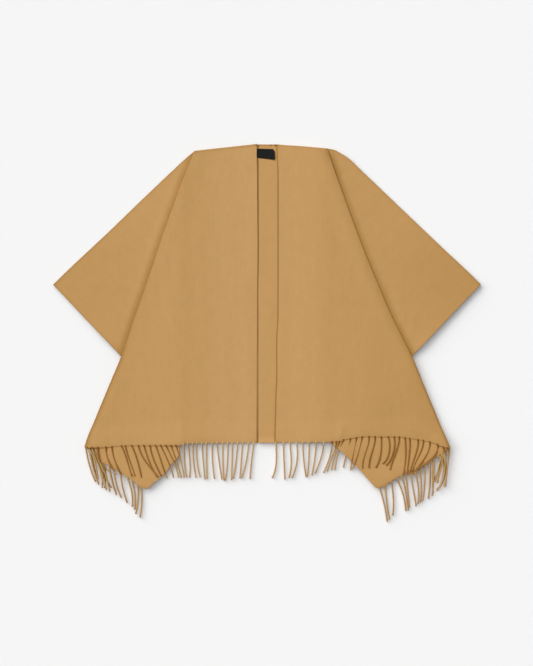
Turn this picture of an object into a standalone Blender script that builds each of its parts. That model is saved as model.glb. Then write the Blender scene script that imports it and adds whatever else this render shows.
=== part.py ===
"""Open-front wool poncho, laid flat with its front up.

Two equal lengths of cloth with fringed ends go over the shoulders, one each side, and a plain strip
joins them down the middle of the back. Laid flat, each length has a pleat in front and a like one
behind: the cloth turns under at a slanted fold, runs back below itself, turns again at a hidden fold
and comes out beyond the first one as the sleeve. From the table up, a side's six layers are
back panel, back turn, back sleeve, front sleeve, front turn, front panel.

All sizes are in millimetres until a mesh is made. Each side is drawn with x running outward from
the middle of the back and y up to the neck, and the left side is mirrored at the end.
"""
import math

import bpy
import bmesh
import numpy as np
from mathutils import Vector
from mathutils.geometry import delaunay_2d_cdt

MM = 0.001

# Cloth
WALL = 1.5              # thickness of the felted wool
GAP = 0.3               # clearance between pieces and between layers
FRINGE_WALL = 2.2       # depth of the flat solid that stands for the twisted strands
LABEL_WALL = 1.0

# How the layers settle over each other
FOLD_REACH = 2.5        # a layer lies at full height this far past the edge of what it covers
PANEL_RAMP = 30.0       # then it comes down over this distance beside a panel's edge
TURN_RAMP = 48.0        # and over this one beside the pleat's hidden layers
FRINGE_RAMP = 26.0
NOTCH = 4.0             # radius of the small opening where a pleat's folds meet
FOLD_STEPS = 4          # facets round a fold
SHOULDER_BULGE = 3.0    # most that the shoulder fold stands past its line
EDGE_STEP = 40.0        # spacing of points along outlines
FIELD_STEP = 47.0       # spacing of points inside
CLEAR_OF_EDGE = 13.0    # no inside point lies nearer to an outline than this

# Middle of the back
STRIP_HALF = 26.0       # the strip's half width, which is the width of the open front
NECK_Y = 489.0
STRIP_TOP = 490.8       # the strip's neck edge stands level with the shoulder folds
HEM_Y = -285.5

# Named places of each side's plan: (outward x, y)
PLACES = {
    "left": {
        "apex": (189.0, 471.0),
        "sleeve_tip": (557.0, 123.7),
        "valley_end": (194.5, -258.4),
        "hem_corner": (474.0, -298.0),
        "turned_corner": (318.0, -406.0),
    },
    "right": {
        "apex": (153.4, 477.0),
        "sleeve_tip": (551.2, 124.5),
        "valley_end": (162.6, -282.6),
        "hem_corner": (471.5, -299.0),
        "turned_corner": (286.0, -403.5),
    },
}

# Bows of the long edges: (part of the way along, distance outward from the straight line)
FOLD_BOW = {
    "left": [(0, 0), (0.10, 2.2), (0.23, 1.6), (0.31, 0.8), (0.40, -1.8), (0.48, -3.5), (0.56, -4.2),
             (0.65, -7), (0.73, -5.2), (0.81, -2.3), (0.90, 0.6), (0.96, 2.2), (1, 0.5)],
    "right": [(0, 0), (0.07, -4.4), (0.15, -7.3), (0.23, -9.7), (0.31, -12), (0.40, -12.5), (0.47, -11.8),
              (0.55, -10.7), (0.63, -6), (0.70, -1.5), (0.80, -1.5), (0.88, -0.9), (1, -0.5)],
}
SLEEVE_TOP_BOW = {
    "left": [(0, 0), (0.03, 1.5), (0.06, 3), (0.15, 3.6), (0.40, 3.2), (0.60, 2), (0.78, 2.2), (0.90, 1.6),
             (1, 0)],
    "right": [(0, 0), (0.034, 11), (0.061, 13.7), (0.088, 16.7), (0.119, 17.7), (0.189, 16.1), (0.46, 10.7),
              (1, 0)],
}
SELVEDGE_BOW = {
    "left": [(0, 0), (0.05, 4.2), (0.13, 5.2), (0.18, 8.2), (0.26, 10.7), (0.34, 12.5), (0.45, 10.5),
             (0.59, 11.2), (0.64, 10.5), (0.68, 6.5), (0.73, -5), (0.85, -5), (1, 0)],
    "right": [(0, 0), (0.03, 2.9), (0.09, 3.2), (0.18, 2), (0.36, 0), (0.65, -1.5), (0.80, -0.9), (1, 0)],
}
TURNED_HEM_BOW = {
    "left": [(0, 0), (0.14, 6), (0.26, 8.8), (0.38, 4.8), (0.55, 3), (0.66, 2.4), (0.80, 0.7), (0.88, 3.3),
             (0.95, 1.8), (1, 0)],
    "right": [(0, 0), (0.13, 3.4), (0.20, 3.8), (0.31, 8.5), (0.43, 8.5), (0.505, 13), (0.57, 11),
              (0.62, 3.5), (0.70, 1.5), (0.81, 1), (0.91, 2.8), (0.97, 2.2), (1, 0)],
}

# Front and back hems, from the slanted fold to the front edge: (outward x, y)
HEM = {
    "left": [(429, -298), (369, -294), (229, -293), (214, -287), (120, -286)],
    "right": [(454, -296), (430, -286), (405, -280.5), (343, -271.5), (250, -270), (215, -275), (198, -278),
              (185, -283), (110, -284.5)],
}
# Where the strands end, from the slanted fold's side to the front edge: (outward x, y)
FRINGE_ENDS = {
    "left": [(424, -387), (340, -382), (200, -384), (48, -385)],
    "right": [(424, -378), (360, -368), (250, -360), (160, -360), (110, -375), (16, -379)],
}
CORNER_FRINGE_ENDS = {
    "left": [(449, -392), (394, -427), (366, -445), (345, -473), (331, -484)],
    "right": [(461, -406), (437, -416), (390, -447), (356, -465), (309, -491)],
}

# Front edges of the open front: (y, distance past the strip's seam, lift off the back)
FRONT_EDGE = {
    "left": [(-400, 2.0, 0.8), (-282, 2.4, 1.0), (-120, 1.0, 1.2), (-30, 1.0, 2.4), (80, 0.5, 1.0),
             (210, 0.0, 2.6), (330, 1.0, 1.0), (489, 0.0, 0.6)],
    "right": [(-400, -8.0, 2.0), (-282, -8.0, 2.2), (-175, -7.5, 1.6), (-5, -3.5, 0.8), (110, 0.8, 0.6),
              (410, 0.8, 0.6), (489, -3.0, 0.5)],
}
FRONT_EDGE_REACH = 34.0     # how far in from the front edge that bend dies out

# Label, on the strip just below the neck: corners (x, y), and how far its loose end stands up
LABEL = [(-41.5, 479.0), (17.0, 477.6), (18.5, 450.2), (-41.5, 457.0)]
LABEL_CURL = 2.0
LABEL_CURL_FROM = 2.0
LABEL_MARGIN = 16.0         # the left front panel lies at full height this far round the label

LEVELS = ["back_panel", "back_turn", "back_sleeve", "front_sleeve", "front_turn", "front_panel"]
FRINGE_LEVELS = {"back_fringe": 0, "back_corner_fringe": 1, "front_corner_fringe": 4, "front_fringe": 5}

CAMEL = (0.552, 0.318, 0.127)
CAMEL_STRIP = (0.535, 0.307, 0.121)
BLACK = (0.012, 0.012, 0.013)


# ---------------------------------------------------------------- lines in plan

def smooth(rows, at):
    """Value of the smooth curve through rows of (place, value) at the given places."""
    place, value = np.array(rows, float).T
    slope = np.gradient(value, place)
    k = np.clip(np.searchsorted(place, at, side="right") - 1, 0, len(place) - 2)
    span = place[k + 1] - place[k]
    t = np.clip((at - place[k]) / span, 0.0, 1.0)
    rise = (1 + 2 * t) * (1 - t) ** 2 * value[k] + t * t * (3 - 2 * t) * value[k + 1]
    return rise + span * (t * (1 - t) ** 2 * slope[k] + t * t * (t - 1) * slope[k + 1])


def bowed(start, end, rows, step=EDGE_STEP):
    """Points from start to end, each set off to the left of the way by the bow's rows."""
    start, end = np.array(start, float), np.array(end, float)
    way = end - start
    length = np.hypot(*way)
    side = np.array([-way[1], way[0]]) / length
    plain = np.linspace(0, 1, max(2, round(length / step)) + 1)
    part = np.unique(np.concatenate([plain, [row[0] for row in rows]]).round(4))
    part = part[np.concatenate([[True], np.diff(part) > 0.2 * step / length])]
    part[-1] = 1.0
    return start + part[:, None] * way + smooth(rows, part)[:, None] * side


def straight(start, end, step=EDGE_STEP):
    return bowed(start, end, [(0, 0), (1, 0)], step)


def through(points, step=EDGE_STEP):
    """A chain of straight runs through the points."""
    runs = [straight(a, b, step)[:-1] for a, b in zip(points[:-1], points[1:])]
    return np.vstack(runs + [np.array([points[-1]], float)])


def leave_notch(line, apex):
    """The line from the notch's rim outward, for a line that starts at the apex."""
    away = line[np.hypot(*(line - apex).T) > NOTCH * 1.6]
    first = away[0] - apex
    rim = apex + NOTCH * first / np.hypot(*first)
    return np.vstack([rim, away])


def joined(*lines):
    """One closed outline from lines that follow each other, without the doubled points."""
    points = np.vstack(lines)
    step = np.hypot(*(points - np.roll(points, 1, axis=0)).T)
    return points[step > 0.01]


def rim_arc(apex, start, end):
    """Points on the notch's rim between two rim points, counter-clockwise."""
    first = math.atan2(*(start - apex)[::-1])
    last = math.atan2(*(end - apex)[::-1])
    turn = (last - first) % (2 * math.pi)
    parts = max(1, round(turn / math.radians(35)))
    angles = first + turn * np.arange(1, parts) / parts
    return apex + NOTCH * np.stack([np.cos(angles), np.sin(angles)], axis=1)


def plan_of(side):
    """Fold lines, outlines of the layers and outlines of the fringes of one side."""
    at = {name: np.array(place) for name, place in PLACES[side].items()}
    apex, corner = at["apex"], at["hem_corner"]
    seam_top = np.array([STRIP_HALF + GAP / 2, NECK_Y])
    seam_foot = np.array([STRIP_HALF + GAP / 2, HEM_Y])

    shoulder = leave_notch(straight(apex, seam_top), apex)
    mountain = leave_notch(bowed(apex, corner, FOLD_BOW[side]), apex)
    valley = leave_notch(straight(apex, at["valley_end"]), apex)
    sleeve_top = leave_notch(bowed(apex, at["sleeve_tip"], SLEEVE_TOP_BOW[side], 34.0), apex)
    sleeve_edge = straight(at["sleeve_tip"], at["valley_end"])
    turned_hem = bowed(corner, at["turned_corner"], TURNED_HEM_BOW[side], 34.0)
    selvedge = bowed(at["turned_corner"], at["valley_end"], SELVEDGE_BOW[side], 34.0)
    hem = through([tuple(corner)] + HEM[side] + [tuple(seam_foot)])
    front_edge = straight(seam_foot, seam_top)
    ends = through(FRINGE_ENDS[side][::-1])
    corner_ends = through(CORNER_FRINGE_ENDS[side][::-1])

    neck_to_valley = rim_arc(apex, shoulder[0], valley[0])
    valley_to_sleeve = rim_arc(apex, mountain[0], sleeve_top[0])
    panel = joined(shoulder[::-1], neck_to_valley, valley[:1], mountain, hem, front_edge)
    turn = joined(mountain, turned_hem, selvedge, valley[::-1])
    sleeve = joined(sleeve_top, sleeve_edge, valley[::-1], mountain[:1], valley_to_sleeve)
    fringe = joined(hem, straight(hem[-1], ends[0], 50.0), ends, straight(ends[-1], corner, 50.0))
    corner_fringe = joined(turned_hem, straight(turned_hem[-1], corner_ends[0], 50.0), corner_ends,
                           straight(corner_ends[-1], corner, 50.0))
    lines = {"shoulder": shoulder, "mountain": mountain, "valley": valley, "sleeve_top": sleeve_top,
             "sleeve_edge": sleeve_edge, "selvedge": selvedge, "hem": hem, "turned_hem": turned_hem}
    outlines = {"panel": panel, "turn": turn, "sleeve": sleeve, "fringe": fringe,
                "corner_fringe": corner_fringe}
    return lines, outlines


# ---------------------------------------------------------------- distances

def edge_distance(points, line, closed=True):
    """Distance from each point to the nearest place on the line."""
    ends = np.roll(line, -1, axis=0) if closed else line[1:]
    starts = line if closed else line[:-1]
    way = ends - starts
    rel = points[:, None, :] - starts[None]
    part = np.clip((rel * way).sum(-1) / np.maximum((way ** 2).sum(-1), 1e-12), 0, 1)
    return np.sqrt(((rel - part[..., None] * way) ** 2).sum(-1).min(axis=1))


def inside(points, outline):
    """Whether each point is inside the closed outline, by counting crossings."""
    x, y = points[:, None, 0], points[:, None, 1]
    ax, ay = outline.T
    bx, by = np.roll(outline, -1, axis=0).T
    spans = (ay > y) != (by > y)
    rise = np.where(by == ay, 1.0, by - ay)
    return (spans & (x < ax + (y - ay) * (bx - ax) / rise)).sum(axis=1) % 2 == 1


def cover(points, outline, reach, ramp):
    """1 on the outline's area and a reach past it, then softly down to 0 over the ramp."""
    far = np.where(inside(points, outline), 0.0, edge_distance(points, outline))
    t = np.clip((far - reach) / ramp, 0.0, 1.0)
    return 1 - t * t * (3 - 2 * t)


# ---------------------------------------------------------------- stacking

def stack_heights(side, points, outlines):
    """Underside of each of the six levels over the points, from the table up."""
    shape = {"panel": (outlines["panel"], "fringe", PANEL_RAMP),
             "turn": (outlines["turn"], "corner_fringe", TURN_RAMP),
             "sleeve": (outlines["sleeve"], None, TURN_RAMP)}
    heights = [np.zeros(len(points))]
    for level in LEVELS[:-1]:
        outline, fringe, ramp = shape[level.split("_")[1]]
        depth = (WALL + GAP) * cover(points, outline, FOLD_REACH, ramp)
        if fringe:
            strands = (FRINGE_WALL + GAP) * cover(points, outlines[fringe], FOLD_REACH, FRINGE_RAMP)
            depth = np.maximum(depth, strands)
        heights.append(heights[-1] + depth)
    if side == "left":
        label = np.array([(-x, y) for x, y in LABEL])
        heights[-1] = heights[-1] + (LABEL_WALL + GAP) * cover(points, label, LABEL_MARGIN, PANEL_RAMP)
    return heights


def bend_front_edge(side, points):
    """How the top layer's front edge is set off from the seam, and how far it stands up."""
    y, offset, lift = np.array(FRONT_EDGE[side]).T
    inward = np.clip(1 - (points[:, 0] - STRIP_HALF) / FRONT_EDGE_REACH, 0, 1) ** 2
    shift = smooth(list(zip(y, offset)), points[:, 1]) * inward
    return shift, smooth(list(zip(y, lift)), points[:, 1]) * inward


# ---------------------------------------------------------------- triangles in plan

def beside(line, offsets, step=EDGE_STEP):
    """Rows of points that run along a line, at distances to its left."""
    way = np.gradient(line, axis=0)
    side = np.stack([-way[:, 1], way[:, 0]], axis=1) / np.hypot(*way.T)[:, None]
    return [line + offset * side for offset in offsets]


def field_points(lines, outlines):
    """Points inside the outlines: rows beside the ridges, and a plain field elsewhere."""
    rows = beside(lines["valley"], (-10, -24, -40)) + beside(lines["mountain"], (9, 20, 33))
    rows += beside(lines["sleeve_edge"], (10, 24, 40)) + beside(lines["selvedge"], (12, -14))
    rows = np.vstack(rows)
    low = np.min([outline.min(axis=0) for outline in outlines.values()], axis=0)
    high = np.max([outline.max(axis=0) for outline in outlines.values()], axis=0)
    xs = np.arange(low[0], high[0], FIELD_STEP)
    ys = np.arange(low[1], high[1], FIELD_STEP * 0.866)
    grid = np.array([(x + (j % 2) * FIELD_STEP / 2, y) for j, y in enumerate(ys) for x in xs])
    far = np.hypot(*(grid[:, None] - rows[None]).transpose(2, 0, 1)).min(axis=1)
    points = thinned(rows, 8.0)
    points = np.vstack([points, grid[far > FIELD_STEP * 0.6]])
    near = np.min([edge_distance(points, outline) for outline in outlines.values()], axis=0)
    within = np.any([inside(points, outline) for outline in outlines.values()], axis=0)
    return points[within & (near > CLEAR_OF_EDGE * 0.62)]


def thinned(points, least):
    """The points, leaving out each that lies nearer than the least distance to an earlier one."""
    kept = []
    for point in points:
        if all(math.dist(point, other) > least for other in kept):
            kept.append(point)
    return np.array(kept)


def triangulate(outlines, extra):
    """One set of triangles that keeps every outline as edges: points, and corners of triangles."""
    coords, edges = [], []
    for outline in outlines:
        base = len(coords)
        coords += [Vector(point) for point in outline]
        count = len(outline)
        edges += [(base + k, base + (k + 1) % count) for k in range(count)]
    coords += [Vector(point) for point in extra]
    verts, _, faces, _, _, _ = delaunay_2d_cdt(coords, edges, [], 0, 0.02)
    return np.array([tuple(v) for v in verts]), np.array([tuple(f) for f in faces])


def rim_edges(faces):
    """Edges that only one of the triangles has, each with its two ends."""
    seen = {}
    for face in faces:
        for a, b in ((face[0], face[1]), (face[1], face[2]), (face[2], face[0])):
            seen.setdefault((min(a, b), max(a, b)), []).append((a, b))
    return [found[0] for found in seen.values() if len(found) == 1]


# ---------------------------------------------------------------- solids

class Solid:
    """Points and faces of one closed solid, gathered layer by layer."""

    def __init__(self):
        self.points, self.index, self.faces = [], {}, []

    def point(self, key, place):
        if key not in self.index:
            self.index[key] = len(self.points)
            self.points.append(place)
        return self.index[key]

    def face(self, *corners):
        distinct = list(dict.fromkeys(corners))
        if len(distinct) > 2:
            self.faces.append(distinct)

    def layer(self, name, plan, faces, base, wall, open_edges):
        """A layer's two faces, and its side walls except along the open edges."""
        for k in np.unique(faces):
            self.point((name, k, "under"), (plan[k, 0], plan[k, 1], base[k]))
            self.point((name, k, "top"), (plan[k, 0], plan[k, 1], base[k] + wall))
        for face in faces:
            for part in ("under", "top"):
                self.face(*(self.index[name, k, part] for k in face))
        for a, b in rim_edges(faces):
            if (min(a, b), max(a, b)) not in open_edges:
                self.face(self.index[name, a, "top"], self.index[name, b, "top"],
                          self.index[name, b, "under"], self.index[name, a, "under"])

    def build(self, name, material, mirrored):
        """The object, in metres, with every face turned outward."""
        sign = -1 if mirrored else 1
        mesh = bpy.data.meshes.new(name)
        places = [(sign * x * MM, y * MM, z * MM) for x, y, z in self.points]
        mesh.from_pydata(places, [], self.faces)
        work = bmesh.new()
        work.from_mesh(mesh)
        bmesh.ops.triangulate(work, faces=work.faces[:])
        bmesh.ops.recalc_face_normals(work, faces=work.faces[:])
        if work.calc_volume(signed=True) < 0:
            bmesh.ops.reverse_faces(work, faces=work.faces[:])
        work.to_mesh(mesh)
        work.free()
        mesh.shade_smooth()
        mesh.set_sharp_from_angle(angle=math.radians(40))
        mesh.materials.append(material)
        piece = bpy.data.objects.new(name, mesh)
        bpy.context.collection.objects.link(piece)
        return piece


def fold_chain(edges, line, plan):
    """The edges that lie on the line, as point numbers in order along it."""
    kept = [edge for edge in edges
            if edge_distance((plan[list(edge)].mean(axis=0))[None], line, closed=False)[0] < 0.05]
    numbers = np.unique(kept)
    along = [np.argmin(np.hypot(*(line - plan[k]).T)) * 1000 + math.dist(plan[k], line[0]) for k in numbers]
    return [numbers[k] for k in np.argsort(along)], {(min(a, b), max(a, b)) for a, b in kept}


def add_fold(solid, name, upper, lower, chain, plan, side_sign, base):
    """A rolled fold along the chain, from the upper layer round to the lower one."""
    line = plan[chain]
    way = np.gradient(line, axis=0)
    out = side_sign * np.stack([-way[:, 1], way[:, 0]], axis=1) / np.hypot(*way.T)[:, None]
    rings = []
    for place, k in enumerate(chain):
        top, foot = base[upper][k] + WALL, base[lower][k]
        middle, half = (top + foot) / 2, (top - foot) / 2
        bulge = min(half, SHOULDER_BULGE)
        ring = {"outer": [], "inner": []}
        for part, inset in (("outer", 0.0), ("inner", WALL)):
            for turn in range(FOLD_STEPS + 1):
                angle = math.pi * (0.5 - turn / FOLD_STEPS)
                reach = (bulge - inset) * math.cos(angle)
                rise = middle + (half - inset) * math.sin(angle)
                ends = {0: (upper, k, "top" if part == "outer" else "under"),
                        FOLD_STEPS: (lower, k, "under" if part == "outer" else "top")}
                key = ends.get(turn, (name, k, part, turn))
                spot = (*(plan[k] + reach * out[place]), rise)
                ring[part].append(solid.point(key, spot))
        rings.append(ring)
    for one, two in zip(rings[:-1], rings[1:]):
        for part in ("outer", "inner"):
            for turn in range(FOLD_STEPS):
                solid.face(one[part][turn], one[part][turn + 1], two[part][turn + 1], two[part][turn])
    for ring in (rings[0], rings[-1]):
        for turn in range(FOLD_STEPS):
            solid.face(ring["outer"][turn], ring["outer"][turn + 1], ring["inner"][turn + 1],
                       ring["inner"][turn])


def set_back(plan, line):
    """The plan with the points on a seam line moved one gap to the line's left."""
    moved = plan.copy()
    way = np.gradient(line, axis=0)
    side = np.stack([-way[:, 1], way[:, 0]], axis=1) / np.hypot(*way.T)[:, None]
    for k in np.flatnonzero(edge_distance(plan, line, closed=False) < 0.05):
        moved[k] = plan[k] + GAP * side[np.argmin(np.hypot(*(line - plan[k]).T))]
    return moved


# ---------------------------------------------------------------- pieces

def make_side(side, cloth, strands):
    """One length of cloth in its six layers, and its four stretches of fringe."""
    lines, outlines = plan_of(side)
    plan, faces = triangulate(list(outlines.values()), field_points(lines, outlines))
    centres = plan[faces].mean(axis=1)
    area = {name: faces[inside(centres, outline)] for name, outline in outlines.items()}
    heights = stack_heights(side, plan, outlines)
    shift, lift = bend_front_edge(side, plan)
    heights[-1] = heights[-1] + lift
    base = dict(zip(LEVELS, heights))
    top_plan = plan + np.stack([shift, np.zeros(len(plan))], axis=1)

    solid = Solid()
    rims = {name: rim_edges(area[name]) for name in ("panel", "turn", "sleeve")}
    folds = [("shoulder", "front_panel", "back_panel", "shoulder", "panel", -1),
             ("front_mountain", "front_panel", "front_turn", "mountain", "turn", 1),
             ("back_mountain", "back_turn", "back_panel", "mountain", "turn", 1),
             ("front_valley", "front_turn", "front_sleeve", "valley", "turn", -1),
             ("back_valley", "back_sleeve", "back_turn", "valley", "turn", -1),
             ("sleeve_top", "front_sleeve", "back_sleeve", "sleeve_top", "sleeve", 1)]
    open_edges = {level: set() for level in LEVELS}
    chains = {}
    for name, upper, lower, line, owner, _ in folds:
        chains[name], edges = fold_chain(rims[owner], lines[line], plan)
        open_edges[upper] |= edges
        open_edges[lower] |= edges
    for level in LEVELS:
        places = top_plan if level == "front_panel" else plan
        solid.layer(level, places, area[level.split("_")[1]], base[level], WALL, open_edges[level])
    for name, upper, lower, line, owner, sign in folds:
        add_fold(solid, name, upper, lower, chains[name], plan, sign, base)
    solid.build(side + "_panel", cloth, side == "left")

    for name, level in FRINGE_LEVELS.items():
        corner = "corner" in name
        places = top_plan if name == "front_fringe" else plan
        places = set_back(places, lines["turned_hem" if corner else "hem"] if name != "front_fringe"
                          else top_line(lines["hem"], side))
        fringe = Solid()
        fringe.layer(name, places, area["corner_fringe" if corner else "fringe"],
                     heights[level], FRINGE_WALL, set())
        fringe.build(side + "_" + name, strands, side == "left")


def top_line(line, side):
    """A line as the top layer has it, bent with the front edge."""
    return line + np.stack([bend_front_edge(side, line)[0], np.zeros(len(line))], axis=1)


def make_strip(material):
    """The flat strip down the middle of the back."""
    half = STRIP_HALF - GAP / 2
    corners = [(-half, HEM_Y), (-half, STRIP_TOP), (half, STRIP_TOP), (half, HEM_Y), (-half, HEM_Y)]
    outline = joined(*(straight(a, b, 90.0) for a, b in zip(corners[:-1], corners[1:])))
    plan, faces = triangulate([outline], [])
    strip = Solid()
    strip.layer("strip", plan, faces, np.zeros(len(plan)), WALL, set())
    strip.build("back_strip", material, False)


def make_label(material):
    """The bare label, flat on the strip, with its loose end a little raised."""
    outline = joined(*(straight(a, b, 6.0) for a, b in zip(LABEL, LABEL[1:] + LABEL[:1])))
    plan, faces = triangulate([outline], [])
    past = np.clip((plan[:, 0] - LABEL_CURL_FROM) / (LABEL[1][0] - LABEL_CURL_FROM), 0, 1)
    label = Solid()
    label.layer("label", plan, faces, WALL + GAP + LABEL_CURL * past ** 2, LABEL_WALL, set())
    label.build("label", material, False)


def cloth_material(name, colour, roughness):
    """A matt cloth of one colour."""
    material = bpy.data.materials.new(name)
    material.use_nodes = True
    shader = material.node_tree.nodes["Principled BSDF"]
    shader.inputs["Base Color"].default_value = (*colour, 1.0)
    shader.inputs["Roughness"].default_value = roughness
    shader.inputs["Metallic"].default_value = 0.0
    return material


def main():
    for item in list(bpy.data.objects):
        bpy.data.objects.remove(item, do_unlink=True)
    for side in ("left", "right"):
        make_side(side, cloth_material(side + "_wool", CAMEL, 0.9),
                  cloth_material(side + "_strands", CAMEL, 0.92))
    make_strip(cloth_material("strip_wool", CAMEL_STRIP, 0.9))
    make_label(cloth_material("label_weave", BLACK, 0.6))


main()
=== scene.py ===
"""Looks of the fringed open-front poncho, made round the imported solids.

The poncho lies flat on a pale floor with its front up, and the camera looks straight down at it.
Cloth, strip, label and the twisted strands are made anew on the form of their solids. Each side is
drawn with x running outward from the middle of the back and y up to the neck, in millimetres, and
the left side is mirrored at the end.
"""
import math

import bmesh
import bpy
import numpy as np
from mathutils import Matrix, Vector
from mathutils.geometry import delaunay_2d_cdt


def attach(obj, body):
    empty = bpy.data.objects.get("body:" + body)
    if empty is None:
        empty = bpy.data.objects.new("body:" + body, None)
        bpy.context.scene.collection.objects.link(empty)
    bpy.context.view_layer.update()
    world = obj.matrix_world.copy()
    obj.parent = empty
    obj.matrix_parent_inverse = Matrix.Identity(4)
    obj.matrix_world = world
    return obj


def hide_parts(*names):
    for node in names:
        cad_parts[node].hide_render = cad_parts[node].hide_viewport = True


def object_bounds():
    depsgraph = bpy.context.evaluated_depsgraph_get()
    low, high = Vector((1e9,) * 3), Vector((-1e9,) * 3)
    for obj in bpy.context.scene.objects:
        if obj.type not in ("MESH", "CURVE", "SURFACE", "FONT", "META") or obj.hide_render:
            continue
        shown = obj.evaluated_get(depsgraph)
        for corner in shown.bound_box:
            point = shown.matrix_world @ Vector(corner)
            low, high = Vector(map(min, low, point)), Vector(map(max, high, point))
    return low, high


MM = 0.001

# Cloth
WALL = 1.5              # thickness of the felted wool
GAP = 0.3               # air between layers
STRAND = 3.7            # thickness of a twisted strand
STRAND_GAP = 0.2
LABEL_WALL = 0.8
EDGE_INSET = 0.45       # how far the rounding of a cut edge reaches in
HEM_THIN = 0.55         # share by which the cloth thins out at its hems, and over what length
HEM_THIN_REACH = 3.4
HEM_THIN_FROM, HEM_THIN_RAMP = 10.0, 20.0   # not at the slanted fold, but from so far off

# How the layers settle over each other
FOLD_REACH = 2.5        # a layer lies at full height this far past the edge of what it covers
PANEL_RAMP = 34.0       # then it comes down over this distance beside a panel's edge
TURN_RAMP = {"left": 128.0, "right": 112.0}     # and over this one beside the pleat's hidden layers
FRINGE_RAMP = 26.0      # strands lie down again over this distance beside others
HEM_RAMP = 100.0        # and cloth over this one, above the strands of the layers below
NOTCH = 1.2             # radius of the small opening where a pleat's folds meet
NOTCH_CLEAR = 1.6       # a line's own points start so many radii out
NOTCH_STEP = 25.0       # degrees between the points on its rim
FOLD_STEPS = 10         # facets round a fold
FOLD_LEAST = 0.02       # least reach of a fold's inner face
SHOULDER_BULGE = 3.0    # most that the shoulder fold stands past its line
SHOULDER_BLEND = 34.0   # the sleeve's fold starts as far out, and falls back over this length
APEX_OVERLAP = 1.8      # and the two folds run into each other by this much
EDGE_STEP = 7.0         # spacing of points along outlines
FIELD_STEP = 7.4        # spacing of points inside
FIELD_ROW = 0.866       # and of their rows, as a share of it
FIELD_CLEAR = 0.45      # share of it that they keep clear of the rows along edges
EDGE_ROWS = (2.4, 5.6)  # rows of points beside edges and folds
ROW_CLEAR = 0.7         # share of its distance that such a row keeps clear of every edge
ON_LINE = 0.05          # an edge whose middle is this near a line lies on it
SAME_POINT = 0.01       # points this near each other are one, in outlines and among the triangles
SAME_CORNER = 0.02
SHARP = 38.0            # edges that bend by more degrees than this are drawn sharp
CHUNK = 1500            # points worked on at a time

# Middle of the back
STRIP_HALF = 26.0
NECK_Y = 489.0
STRIP_TOP = 490.8       # the strip's neck edge stands level with the shoulder folds
HEM_Y = -285.5

# Named places of each side's plan: (outward x, y)
PLACES = {
    "left": {
        "apex": (189.0, 471.0),
        "sleeve_tip": (557.0, 123.7),
        "valley_end": (194.5, -258.4),
        "hem_corner": (474.0, -298.0),
        "turned_corner": (318.0, -406.0),
    },
    "right": {
        "apex": (153.4, 477.0),
        "sleeve_tip": (551.2, 124.5),
        "valley_end": (162.6, -282.6),
        "hem_corner": (471.5, -299.0),
        "turned_corner": (286.0, -403.5),
    },
}

# Bows of the long edges: (part of the way along, distance outward from the straight line)
FOLD_BOW = {
    "left": [(0, 0), (0.10, 2.2), (0.23, 1.6), (0.31, 0.8), (0.40, -1.8), (0.48, -3.5), (0.56, -4.2),
             (0.65, -7), (0.73, -5.2), (0.81, -2.3), (0.90, 0.6), (0.96, 2.2), (1, 0.5)],
    "right": [(0, 0), (0.07, -4.4), (0.15, -7.3), (0.23, -9.7), (0.31, -12), (0.40, -12.5), (0.47, -11.8),
              (0.55, -10.7), (0.63, -6), (0.70, -1.5), (0.80, -1.5), (0.88, -0.9), (1, -0.5)],
}
SLEEVE_TOP_BOW = {
    "left": [(0, 0), (0.03, 1.5), (0.06, 3), (0.15, 3.6), (0.40, 3.2), (0.60, 2), (0.78, 2.2), (0.90, 1.6),
             (1, 0)],
    "right": [(0, 0), (0.034, 11.3), (0.061, 14.6), (0.088, 17.9), (0.119, 18.9), (0.189, 17.5),
              (0.46, 12.1), (0.75, 6.3), (0.93, 2.3), (1, 0)],
}
SELVEDGE_BOW = {
    "left": [(0, 0), (0.05, 4.2), (0.13, 5.2), (0.18, 8.2), (0.26, 10.7), (0.34, 12.5), (0.45, 10.5),
             (0.59, 11.2), (0.64, 10.5), (0.68, 6.5), (0.73, -5), (0.85, -5), (1, 0)],
    "right": [(0, 0), (0.03, 2.9), (0.09, 3.2), (0.18, 2), (0.36, 0), (0.65, -1.5), (0.80, -0.9), (1, 0)],
}
TURNED_HEM_BOW = {
    "left": [(0, 0), (0.06, -7), (0.11, -11), (0.18, -3), (0.25, 7.5), (0.29, 8.2), (0.38, 4.8), (0.55, 3),
             (0.66, 2.4), (0.80, 0.7), (0.88, 3.3), (0.95, 1.8), (1, 0)],
    "right": [(0, 0), (0.13, 3.4), (0.20, 3.8), (0.31, 8.5), (0.43, 8.5), (0.505, 13), (0.57, 11),
              (0.62, 3.5), (0.70, 1.5), (0.81, 1), (0.91, 2.8), (0.97, 2.2), (1, 0)],
}

# Front and back hems, from the slanted fold to the front edge: (outward x, y)
HEM = {
    "left": [(429, -298), (369, -294), (229, -293), (214, -287), (120, -286)],
    "right": [(454, -296), (430, -286), (405, -280.5), (343, -271.5), (250, -270), (215, -275), (198, -278),
              (185, -283), (110, -284.5)],
}
# Where the strands end, from the slanted fold's side to the front edge: (outward x, y)
FRINGE_ENDS = {
    "left": [(424, -387), (340, -382), (200, -384), (48, -385)],
    "right": [(424, -378), (360, -368), (250, -360), (160, -360), (110, -375), (16, -379)],
}
CORNER_FRINGE_ENDS = {
    "left": [(449, -392), (394, -427), (366, -445), (345, -473), (331, -484)],
    "right": [(461, -406), (437, -416), (390, -447), (356, -465), (309, -491)],
}

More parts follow.
